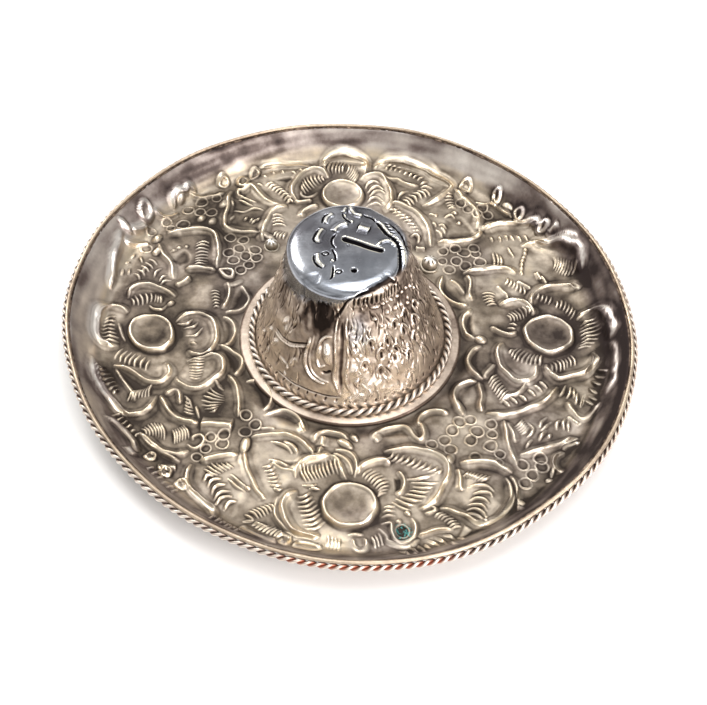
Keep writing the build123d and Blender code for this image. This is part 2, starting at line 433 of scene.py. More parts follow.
def back_left_leaves(m):
    m.hook([(-36, 53.5), (-35.4, 55.8), (-34, 55.6), (-33.4, 54), (-34.4, 52.6)])
    m.hook([(-28, 55), (-29, 56.5), (-30.3, 56.3), (-31, 54.8), (-30.2, 53), (-28.6, 52.3)])
    m.hook([(-27.6, 55.4), (-27.2, 58.6), (-26.2, 59.6), (-25.2, 58.9), (-25.6, 56.6)])
    m.lobe([(-25.2, 59.5), (-21, 61), (-18, 61.4), (-15, 61.3), (-12, 61.1), (-9.8, 60.7)], 1.8, 1.0, 0)
    m.ridge([(-31, 51.6), (-29.3, 50.6), (-27.4, 52.5), (-26, 51.6), (-25, 50), (-23.5, 48), (-22, 46.5),
             (-20, 45.6), (-18.5, 45.3)], 1.7, 1.0)
    m.fill([(-26, 58.6), (-18, 60.4), (-11, 59.8), (-15, 50), (-19, 46.5), (-25, 51)], 0.3, 3.0)
    m.fill([(-21.5, 54.8), (-16, 56.2), (-15.2, 54.6), (-17, 53.3)], -0.35, 1.2)
    m.comb([(-22.9, 52.3), (-21.6, 50.7), (-19.7, 49), (-18.1, 47.2), (-16.9, 45.7)],
           [(-20.6, 53.6), (-18.6, 51.9), (-16.9, 50.1), (-15.6, 48.1), (-15, 46.4)], 8, 0.6, 0.75, 0.6)
    for line in ([(-24.4, 57.6), (-22.6, 56)], [(-21.6, 58.8), (-20.4, 57.4)], [(-19, 59.2), (-18, 57.2)],
                 [(-16, 58.6), (-14.4, 57.2)], [(-13.8, 59.6), (-12.6, 58)],
                 [(-25.4, 53.4), (-23.6, 52.6)]):
        m.stroke(line)
    m.ridge([(-32.3, 51), (-33, 48), (-33.2, 44), (-33.5, 40), (-33.5, 37), (-32, 36), (-29, 35.2),
             (-25, 34.8), (-23.8, 35.4)], 1.9, 1.05)
    m.fill([(-33, 49), (-33.5, 37), (-24, 35), (-21.5, 44), (-27, 49)], 0.3, 2.5)
    m.ridge([(-30.5, 51), (-30, 49), (-28.6, 47.4)], 1.2, 0.8)
    for line in ([(-32, 39), (-31, 41)], [(-28.5, 39), (-27.5, 40.5)], [(-27, 38.5), (-25.8, 40.3)],
                 [(-26.5, 38), (-24.8, 40)], [(-25, 39), (-24, 40.5)], [(-31.6, 44.6), (-31.8, 47)],
                 [(-30, 47), (-28, 45.4), (-26, 44.6)], [(-29.6, 48.4), (-27, 46.6), (-25, 46)],
                 [(-31.5, 42.7), (-29, 42.2), (-26.5, 43.4), (-24.5, 43.5), (-23, 43)]):
        m.stroke(line, 0.7)
    m.ridge([(-16.6, 44.8), (-19, 44.2), (-20.8, 42.5), (-21.9, 40), (-22.8, 37), (-23.3, 34),
             (-22.9, 31.6)], 1.9, 1.05)
    m.comb([(-20.6, 41), (-20.8, 37.6)], [(-17.8, 41.6), (-16.4, 37.4)], 4, 0.3)
    m.comb([(-20.2, 33.2), (-17.6, 32.6)], [(-18.9, 35.6), (-16.6, 35.2)], 4, 0.25)
    m.ridge([(-12.8, 41), (-12.5, 43), (-10.5, 44.5), (-8, 44.9)], 1.3, 0.85)


def back_flower(m):
    m.lobe([(-6.7, 60.5), (-6.5, 63), (-5, 64.6), (-3, 65.2), (0, 65.2), (3, 64.3), (5, 63.2),
            (5.6, 61.5), (5.3, 59.5), (4.8, 57.2)])
    m.comb([(-5.7, 62.2), (-4.3, 62.5), (-2.6, 62.8), (-0.4, 62.4)],
           [(-6.1, 58.2), (-4.6, 57.6), (-3, 57.4), (-1.3, 58.4)], 6, -0.35)
    m.comb([(0.4, 61.7), (1.8, 61.1), (2.7, 59.7), (3.3, 57.6)],
           [(-0.3, 57.6), (0.3, 56.2), (0.8, 55), (1.1, 53.6)], 6, 0.45)
    m.lobe([(-13.6, 46), (-15.3, 48.6), (-15.5, 52), (-14.3, 55), (-12.5, 57.8), (-10.5, 59.2),
            (-8.5, 59.3), (-6.5, 57.8), (-5.4, 55.6)], 2.0, 1.1)
    m.ridge([(-14.9, 46.2), (-12, 46.9), (-9.7, 47.1)], 1.0, 0.7)
    m.comb([(-12.9, 53), (-12.2, 55.5), (-10.4, 56.7), (-8.4, 56.9), (-6.8, 56.3)],
           [(-11.6, 49.6), (-10.2, 50.6), (-8.8, 52), (-7.4, 53.4), (-6.3, 54.6)], 8, -0.5)
    m.stroke([(-13, 50.4), (-12.6, 48.9), (-11, 48.3), (-9.5, 48.9), (-8.4, 50.2)], 0.9)
    m.lobe([(3.8, 54.6), (4.6, 56.2), (6.5, 57.1), (8.5, 57), (10, 56), (11.1, 53.6), (11.6, 51),
            (11.9, 48.5), (12, 46), (11, 44.2), (9.4, 43.2)], 1.8, 1.05)
    for line in ([(5, 51.5), (5.5, 53.2), (7, 54), (8.8, 53.5)],
                 [(5.5, 49.8), (7, 51.5), (8.5, 51.9), (10, 50.6)],
                 [(6, 48.4), (7.5, 50), (9, 50.2), (10.3, 49.2)],
                 [(5.3, 46.3), (6.5, 47.9), (8.3, 47.9), (9.8, 46.4)],
                 [(5.3, 44.4), (6.3, 45.8), (8, 46.1), (9.3, 45.2)]):
        m.stroke(line, 0.85, 0.6)
    m.cup(-1.5, 49, 5.8, 5.6)


def back_right_leaves(m):
    m.lobe([(8, 59.5), (8.3, 61), (9.5, 62.2), (11, 62.8), (14, 62.7), (17, 62), (20, 60.8), (23, 59),
            (25, 57), (27, 55.3), (28.6, 53.6), (29.2, 52), (28, 50), (26, 48), (24, 46.5), (22, 45.3),
            (20.3, 44.9)], 1.9, 1.05, 0.3, 3)
    m.ridge([(9.5, 57), (12, 55.4), (14, 54.9), (15.5, 53.4), (17.5, 52.7), (20, 52.7)], 1.2, 0.7)
    m.comb([(12.4, 61.2), (14.6, 60.4), (17.4, 59), (19.8, 57.6), (21.8, 56.3)],
           [(10.6, 58.9), (13.4, 58.3), (15.6, 57.2), (17.7, 56.1), (19.6, 54.8)], 8, -0.4)
    m.stroke([(20.5, 53.3), (21.6, 54.2), (22.9, 54.7)], 0.8)
    m.stroke([(20.4, 52), (22, 52.6), (24, 52.1)], 0.8)
    m.stroke([(13.8, 46.8), (14.5, 49), (16, 50.3), (17.3, 50.7)], 0.85, 0.6)
    m.comb([(15.2, 47.4), (16.8, 49.3), (18.6, 50.4), (20.6, 51.6)],
           [(17.5, 44.3), (19, 46), (20.8, 47.4), (23, 48.6)], 6, 0.6, 0.8, 0.6)
    m.comb([(27.4, 49), (26.9, 46.6), (27.7, 44)], [(29.2, 49.6), (29.6, 47.4), (29.8, 44)], 6, 0.2)
    m.ridge([(11, 44.5), (12.5, 45.6), (14.5, 45), (17, 43.5), (19, 41.5), (20.5, 39), (21.5, 36),
             (22, 33), (21.9, 30)], 1.8, 1.05)
    m.fill([(11, 44), (17, 43.2), (21, 37), (21.7, 30), (18, 30), (14, 39)], 0.3, 2)
    m.comb([(11.4, 43.2), (13, 41.4), (14.6, 39.6), (16.2, 37.6), (17.5, 35.6)],
           [(14.2, 43.6), (16.2, 42), (17.8, 39.8), (18.9, 37.8), (19.6, 35.6)], 8, -0.3)
    m.stroke([(16.7, 33.2), (18, 33.6), (18.9, 32.3), (18.4, 30.8)], 1.0, 0.7)
    m.ridge([(18, 29), (20.5, 29)], 1.4, 0.7, 0.05)
    m.lobe([(24, 31.2), (28, 31.3), (32, 32.2), (35, 33.8), (36.4, 35.4)], 1.9, 1.05, 0)
    m.fill([(24.5, 31.8), (30, 32), (34.5, 34), (31.5, 41), (26.5, 40)], -0.35, 1.5)
    for line in ([(23.8, 36), (25, 34.8), (25.4, 33)], [(25.2, 36.8), (26.2, 35.8), (26.3, 34.4)],
                 [(24.6, 37.4), (26, 37.4), (27, 36.2)], [(22.8, 38.8), (24, 36.8)],
                 [(22.2, 42), (23.8, 41), (24.4, 42)], [(26.5, 40.4), (28, 41.4), (29.4, 40.4)],
                 [(28.4, 42.2), (30.2, 42.2)], [(29.6, 38.4), (31.2, 38.9)]):
        m.stroke(line, 0.8, 0.55)
    m.ridge([(30, 52), (31.5, 49), (33.3, 46.6), (35, 43.8), (36, 41), (35.6, 38.4), (35.1, 36.2)], 2.0,
            0.95)
    m.hook([(31.5, 52.2), (32.4, 53.9), (34, 53.8), (34.7, 52), (33.9, 50.4), (32.6, 50.8)])
    m.hook([(40.2, 46.4), (40.6, 48.6), (42, 48.4), (42, 46.6), (41, 45.6)])
    m.hook([(45.8, 39.6), (46, 41.6), (47.4, 41.6), (47.9, 40.2), (46.8, 39)])
    m.dome(44, 43.6, 1.8, 0.9, -45, 0.8)
    m.ridge([(35.4, 46.6), (37, 45.6), (40, 45), (43, 42.2), (45, 40)], 1.1, 0.7)
    for x, y in ((31.4, 46), (33.3, 43.8), (35.6, 42), (38.6, 41.8), (37.2, 44)):
        m.punch(x, y, 1.4)
    m.dome(36.3, 36.5, 1.5, 0.9, 60, 0.6)


def right_leaves(m):
    m.ridge([(31, 19.5), (31.8, 17), (31.3, 13), (31.8, 10.5)], 1.4, 0.85)
    m.lobe([(30, 20.3), (33, 21), (36, 21.5), (39, 22), (42, 21.8), (44.5, 20.5)], 1.7, 1.0, 0)
    m.fill([(31.5, 12), (32, 20), (43, 21), (46, 14), (40, 10.5)], 0.25, 2.5)
    m.comb([(34.4, 12.9), (34.6, 11), (35.3, 9.2)], [(37.6, 12.7), (37.4, 11), (38, 9.2)], 5, 0.3)
    m.ridge([(38.5, 15.5), (40, 13.5), (41, 12.5), (41, 11)], 1.1, 0.7)
    m.comb([(41.7, 18.6), (43.2, 17.8), (44.2, 16.7), (45.6, 15.4)],
           [(40.9, 16), (42.5, 14.8), (43.8, 13.7), (45.4, 12.9)], 6, 0.35)
    m.ridge([(44, 17.5), (46, 16), (47.5, 14.5)], 1.1, 0.7)
    m.lobe([(46.5, 29.5), (48, 30.5), (51, 31), (55, 29.8), (58, 27.5), (60, 25), (61, 22), (60.8, 18)],
           1.7, 1.0)
    for k in range(7):
        m.dome(45.6 + 0.28 * k, 20.6 + 1.3 * k, 0.75, 0.55, 75, 0.65)
    m.comb([(54.5, 25.4), (56, 24.4), (57.4, 23), (59.3, 20.9)],
           [(54.3, 21.8), (55.4, 20.2), (56.8, 19.1), (58.6, 18.6)], 8, 0.4)
    m.ridge([(49.8, 21), (50.3, 18)], 1.0, 0.7)
    m.ridge([(50.5, 19.5), (51.8, 16.5)], 1.0, 0.7)
    m.ridge([(36.5, 36), (39, 37.3), (43, 38), (47, 38), (50, 37.3), (51.3, 36), (50.5, 35)], 2.3, 1.1)
    for line in ([(42.4, 34), (43, 32)], [(44, 34.2), (44.8, 31.8)], [(45.8, 34), (46.6, 31.6)],
                 [(47.6, 33.8), (48.4, 31.8)], [(38.8, 28), (38.9, 24.8), (38.6, 21.6)],
                 [(39.8, 27.6), (40, 25), (39.6, 22)], [(40.6, 27), (40.8, 24.6), (40.6, 22.6)],
                 [(43, 29.5), (43.5, 27.5), (44.3, 26)], [(40.6, 33.6), (41, 31.4)],
                 [(38.4, 33.8), (38.8, 31.6)]):
        m.stroke(line, 0.75)
    for x, y, radius in ((33.7, 29.3, 1.5), (31, 27.6, 1.7), (28.8, 24.5, 1.4), (31, 22.8, 1.6),
                         (35, 24, 1.6), (26.5, 21.7, 1.5), (25.3, 28, 1.4), (28.7, 29, 1.5),
                         (25, 24.5, 1.2), (34, 27, 1.4)):
        m.punch(x, y, radius)
    m.hook([(51.4, 33.6), (51.8, 35.2), (53, 35.3), (53.6, 34.2), (52.6, 33.2)])
    m.ridge([(53.5, 32), (56, 32.8)], 1.2, 0.8, 0.05)
    m.ridge([(53, 31.5), (57, 29.8), (60.5, 26.5)], 1.0, 0.6)
    m.lobe([(32.5, -24.5), (35, -25.2), (38, -24.9), (41.5, -23.9), (45, -22.3), (48, -20.3),
            (49.7, -18.4), (51, -16.5)], 1.6, 1.0, 0)
    m.fill([(32, -15), (32, -23.5), (38, -24), (47, -20.5), (50, -16.5), (43, -14.5), (36, -11)], 0.25,
           2.5)
    m.ridge([(36, -21.5), (38, -19.8), (40.5, -18.7), (42, -17.3), (43, -15.8)], 1.0, 0.65)
    m.comb([(33.8, -15.8), (34.4, -17.8), (35.3, -19.6), (36.2, -21.5)],
           [(36.3, -12.9), (37.1, -15.1), (38, -17), (39, -18.4)], 8, 0.2)
    for k, (x, y) in enumerate(((37.6, -21.8), (39.5, -20.9), (41.8, -20.2), (44, -18.8), (45.8, -17.5),
                                (47.3, -16.3))):
        m.dome(x, y, 1.15 + 0.06 * k, 0.55, -52, 0.6)
    m.ridge([(31.5, -15), (31.7, -19), (31.2, -22), (31.3, -24)], 1.2, 0.8)
    for line in ([(50.8, -19.7), (52, -18.2), (53, -16.3)], [(52.4, -20.2), (53.6, -18.6), (54.2, -16.9)],
                 [(54.3, -20.5), (55, -17.5)], [(54.5, -22.3), (55.7, -18.7)],
                 [(55.5, -23.3), (57.3, -19)]):
        m.stroke(line, 0.75)
    for x, y in ((61.9, -13.4), (61.1, -15), (60.2, -16.4), (59.3, -18.7), (58.8, -20.8), (57.8, -21.8)):
        m.dome(x, y, 1.5, 0.55, -52, 0.6)
    m.ridge([(52.5, -21), (53.3, -24), (55.5, -26.7), (58, -25.5), (60, -23)], 1.2, 0.7)
    m.ridge([(64.6, -6), (65, -9), (64.4, -14), (63.5, -18), (61.5, -22)], 1.2, 0.7)


def right_flower(m):
    m.lobe([(58, 4), (60, 5.6), (62.5, 5.9), (64.4, 4), (65.1, 1), (65.4, -1.5), (65.2, -3.8),
            (64.2, -5)])
    m.comb([(58.8, 2.2), (58.5, 0.6), (58.5, -1.1), (58.3, -2.9), (57.3, -4.8)],
           [(62.6, 2.8), (63, 1.1), (63.2, -0.6), (62.9, -2.5), (60.5, -4.7)], 8, 0.45)
    m.lobe([(38.5, 8.8), (40, 9.8), (42, 10.5), (44.5, 10.3), (46.3, 9), (47.1, 7), (46.8, 5.5)])
    m.comb([(45.6, 8.3), (44, 8.3), (42.3, 7.8), (41, 7), (40.2, 6)],
           [(46, 6.1), (45, 5.1), (43.6, 4.5), (42, 4), (41, 4)], 7, 0.35)
    m.stroke([(40.5, 3.2), (42.8, 2.6)])
    m.stroke([(40, 1.8), (42.3, 1.5)])
    m.ridge([(35.8, 2.2), (38, 0.5), (40, -0.2), (42.5, 0.6)], 1.1, 0.7)
    m.lobe([(39, -3.3), (37.3, -4.5), (36.5, -7), (37, -10), (38.5, -12.8), (40.5, -14.8), (43, -15.2),
            (45.3, -14), (46.2, -11.5), (46, -9.5)])
    m.comb([(39.8, -6.8), (40.7, -9), (42.5, -10), (44.6, -10.4), (47, -10.3)],
           [(41.3, -5.2), (43, -5.1), (44.6, -6.4), (46.3, -7), (48.2, -6.7)], 9, 0.35)
    m.lobe([(48.6, -9.5), (48.4, -11), (49.3, -13), (51, -14.5), (53, -14.4), (55.5, -13.6),
            (58.5, -12.3), (60.5, -10.7), (61.3, -8.5), (60.5, -6.5)])
    m.comb([(49.8, -12.9), (51.7, -12.8), (53.4, -12), (54.3, -11), (56, -10.3)],
           [(49.6, -9.2), (51, -8.4), (52.3, -8), (53.7, -7.6), (55.2, -6.7)], 7, -0.35)
    m.lobe([(46.8, 8), (47, 10.5), (48, 12.8), (49.8, 14.5), (52, 15.5), (55, 15.8), (58, 15.4),
            (59.5, 14.5), (60, 13.5)], 2.0, 1.1)
    m.comb([(53.2, 8), (54.5, 7.5), (55.8, 5.8), (56.3, 4.5)],
           [(53.8, 10.6), (55.4, 11), (57.2, 9.2), (58.2, 7.4)], 6, -0.35)
    m.comb([(48.6, 10.6), (51.4, 9.2)], [(49.2, 12.8), (52.6, 12)], 4, -0.2, 0.55, 0.35)
    m.cup(50.3, -0.7, 6.5, 6.1)


def front_left_field(m):
    m.lobe([(-50.5, -29.5), (-48.5, -31.5), (-46.5, -33.5), (-44, -35.3), (-41, -36), (-38, -34.8)], 1.5,
           0.9, 0)
    m.fill([(-50.5, -29), (-44, -35), (-38, -34.4), (-39, -28), (-45, -26)], 0.25, 2)
    m.comb([(-50, -28.4), (-48, -27), (-45.5, -27)], [(-48.6, -30.2), (-46, -31.2), (-44, -32.2)], 7, 0.4)
    m.comb([(-42.6, -29), (-40.3, -27.8)], [(-41.6, -33.2), (-38.5, -31.6)], 6, 0.4)
    m.ridge([(-38.6, -33), (-37.2, -34.2), (-35.4, -33.4), (-35, -31.6), (-36.2, -30.4), (-37.6, -31),
             (-37.4, -32.2)], 0.8, 0.6)
    m.ridge([(-50.5, -30), (-47.5, -33.6), (-43, -36.5), (-40, -38)], 1.3, 0.8)
    m.ridge([(-35.5, -38), (-33, -37), (-29, -36.5), (-26.5, -36.2)], 1.8, 1.0)
    m.dome(-25.3, -33.6, 2.4, 1.2, 80, 1.0)
    m.ridge([(-25.4, -35), (-25, -38), (-24.2, -41), (-23, -43.5), (-22, -46), (-20, -48)], 1.7, 1.0)
    m.lobe([(-37.5, -38.5), (-38.3, -41), (-38, -43.5), (-36.3, -46.5), (-34, -49), (-32, -51.5),
            (-31, -54)], 1.6, 0.95, 0)
    m.fill([(-37.5, -39), (-36.3, -46), (-31.5, -53), (-23, -47), (-25.5, -37.5), (-33, -37.5)], 0.3, 2.5)
    for line in ([(-34.6, -43.5), (-33.5, -42), (-32, -42.1)],
                 [(-33.5, -45), (-32.5, -43.3), (-30, -42.8)], [(-32.4, -47), (-31.5, -45), (-29, -44.3)],
                 [(-31.8, -48.5), (-30.5, -46.5), (-27.8, -46)],
                 [(-31.6, -49.8), (-30, -47.8), (-27.5, -47.4)],
                 [(-29.5, -51.2), (-28.5, -49.3), (-26.6, -48.5)]):
        m.stroke(line, 0.75, 0.6)
    m.comb([(-34.4, -40.3), (-33.2, -38.5), (-31.2, -38.2), (-29.3, -38.2)],
           [(-31, -41.8), (-29.6, -41), (-28.4, -40.4), (-27.6, -40)], 6, -0.25)
    m.comb([(-28.8, -42.9), (-28.2, -41.8)], [(-24.5, -46.6), (-23.9, -45.4)], 2, -0.4)
    m.dome(-24, -45.6, 0.7, height=0.6)
    m.hook([(-40.7, -44.8), (-39.9, -43.3), (-38.3, -43.4), (-37.9, -44.9), (-39.2, -45.9)])
    m.hook([(-44.5, -41.4), (-43.6, -40), (-42.1, -40.4), (-42.3, -41.9), (-43.5, -42.4)], 1.0)
    m.hook([(-48.3, -37.2), (-47.4, -35.9), (-46, -36.3), (-46.1, -37.6), (-47.2, -38.1)], 1.0)
    m.ridge([(-45, -40), (-43, -39.6), (-41, -39.5)], 1.3, 0.8, 0.05)
    m.ridge([(-58, -28.3), (-55, -29.5), (-52, -33), (-50, -36.5)], 1.3, 0.8)
    m.ridge([(-52, -37), (-50, -39.2)], 1.2, 0.8)
    m.comb([(-57, -26.6), (-51.5, -31.4)], [(-55, -25), (-50.2, -29.8)], 6, 0.3)
    m.comb([(-47, -42.6), (-41, -48.6)], [(-45.6, -40.8), (-39.6, -47)], 6, 0.3)
    for x, y, radius in ((-34.2, -34.2, 1.2), (-30.5, -32.9, 1.5), (-30.3, -30.4, 1.4), (-33.4, -31, 1.3),
                         (-25.3, -24.8, 1.4), (-23, -27.6, 1.5), (-25.3, -29.7, 1.4),
                         (-36.2, -36.6, 1.2)):
        m.punch(x, y, radius)
    m.ridge([(-21.6, -28.7), (-20, -28.5), (-18.2, -28.9)], 0.8, 0.4)


def front_leaf(m):
    m.lobe([(-24.2, -31.3), (-22, -30.9), (-19, -30.5), (-16, -30.5), (-13.5, -31.5), (-11.5, -33),
            (-9.8, -35), (-9, -36.4)], 1.6, 1.0, 0)
    m.fill([(-24, -32), (-19, -30.8), (-11, -33.5), (-12, -41), (-17, -47), (-21, -46), (-24.5, -38)],
           0.3, 2.5)
    m.comb([(-21.3, -39.6), (-20.3, -42), (-19.5, -44.2), (-18.5, -45.4)],
           [(-18.8, -38.5), (-17.4, -41.2), (-16.8, -43.4), (-16.1, -45.4)], 7, -0.35)
    m.ridge([(-19, -38.2), (-16.5, -40.2), (-14, -41), (-13.2, -42.8)], 0.9, 0.6)
    m.stroke([(-19.5, -37.5), (-17.4, -38.2), (-15, -39.4)], 0.8)
    m.stroke([(-19.3, -32.3), (-16, -33.8), (-14.2, -36)], 0.9, 0.6)
    m.stroke([(-16, -32.3), (-14.2, -34.2), (-12.8, -36)], 1.3, 0.7)
    m.fill([(-17, -37.5), (-12, -38.2), (-14.5, -40)], -0.3, 0.9)
    m.comb([(-23.8, -51), (-22, -50.2), (-19.5, -49.2)], [(-21.5, -53), (-20, -52.4), (-18, -50.9)], 6,
           0.35)
    m.stroke([(-24.5, -52), (-22.5, -53.2)])
    m.stroke([(-25, -53.8), (-23, -53.6), (-22.5, -53)])
    m.comb([(-23, -55), (-21.2, -56.6), (-19, -57.7), (-17, -58)],
           [(-20.8, -54.2), (-18.6, -54.7), (-16.8, -55.5), (-15.4, -56.8)], 8, 0.35)
    m.ridge([(-17.4, -58.4), (-16.4, -57), (-14.6, -57.4), (-14, -58.9), (-15.2, -60.4), (-16.4, -59.6),
             (-15.8, -58.7)], 0.8, 0.6)
    m.ridge([(-25.6, -55.4), (-22.3, -58), (-20, -59.5), (-17, -60.8)], 1.4, 0.7)
    m.hook([(-13, -61), (-12.6, -59.9), (-11, -59.6), (-9, -59.9), (-7.6, -60.8), (-10, -61.5)], 1.0, 0.7)
    m.ridge([(-21.5, -46.8), (-20.5, -48)], 1.4, 0.8)
    m.comb([(-32, -55.6), (-26.5, -58.8)], [(-30.4, -53.4), (-25, -56.8)], 6, 0.3)


def front_flower(m):
    m.lobe([(-13.2, -42.5), (-13.3, -40.5), (-12, -38.3), (-10, -37), (-7, -36.7), (-4.8, -36.4)])
    m.comb([(-12.2, -39.2), (-9, -38.8), (-5.4, -37.7), (-3.4, -37.2)],
           [(-10.6, -43.8), (-7.5, -42.8), (-4.6, -41.8), (-2.5, -41.6)], 11, -0.35)
    m.stroke([(-11.8, -44.6), (-9.5, -45), (-8.2, -44.3)])
    m.stroke([(-10.2, -45.7), (-7.4, -45.6)])
    m.lobe([(1.2, -41.5), (2, -39.5), (4, -38.4), (7, -38.1), (9, -38.8)], 1.5, 0.95, 0)
    m.comb([(2.4, -42.3), (3.5, -43.5), (4.8, -44.8), (5.8, -46.2), (5.6, -47.8)],
           [(4.6, -40.1), (6.5, -41.6), (8.1, -43), (8.4, -44.6), (7.8, -46.4)], 9, 0.35)
    m.lobe([(-12.5, -46.3), (-15, -47.5), (-16.4, -50), (-16, -52.5), (-14.5, -55.5), (-12.3, -57.7),
            (-9.5, -58.2), (-7.5, -57)], 1.9, 1.1)
    m.ridge([(-17, -47.3), (-17.9, -50), (-17.7, -52.3), (-16, -55), (-13.6, -57.7)], 1.0, 0.6)
    m.comb([(-12.8, -47.6), (-12.6, -50), (-12, -52.5), (-11.5, -54.5), (-10.8, -56)],
           [(-9.5, -46.6), (-8.5, -48.5), (-7.5, -50.5), (-7.2, -52.5), (-6.4, -53.9)], 8, -0.5)
    m.ridge([(-5, -36.2), (-3.5, -38), (-2.5, -40.5), (-1.5, -43)], 1.1, 0.8)
    m.ridge([(-4.5, -35.8), (-2, -37.3), (-0.5, -39.4), (0, -41.6)], 1.1, 0.8)
    m.ridge([(-4, -34.8), (-1.5, -35.3), (0.5, -36.9), (1.1, -39.4), (0.5, -42.4)], 1.0, 0.7)
    m.comb([(-5.6, -57.3), (-3, -58.2)], [(-6, -60.8), (-3.6, -61.8)], 4, 0.2)
    m.ridge([(0, -58.3), (0.3, -60.6), (1.4, -61.7), (2.6, -61.1), (3, -59.5), (2.7, -57.9)], 0.8, 0.6)
    m.stroke([(-1.3, -57.8), (0, -57.3), (2.5, -57.1)], 0.9)
    m.comb([(4.2, -57.6), (5.4, -56.6)], [(4.8, -61), (6.6, -60)], 3, 0.2)
    m.comb([(7, -50.7), (6.3, -52.9)], [(9.9, -50.2), (9.6, -52.5)], 3, 0.2)
    m.cup(-0.8, -50, 6.5, 6.1)


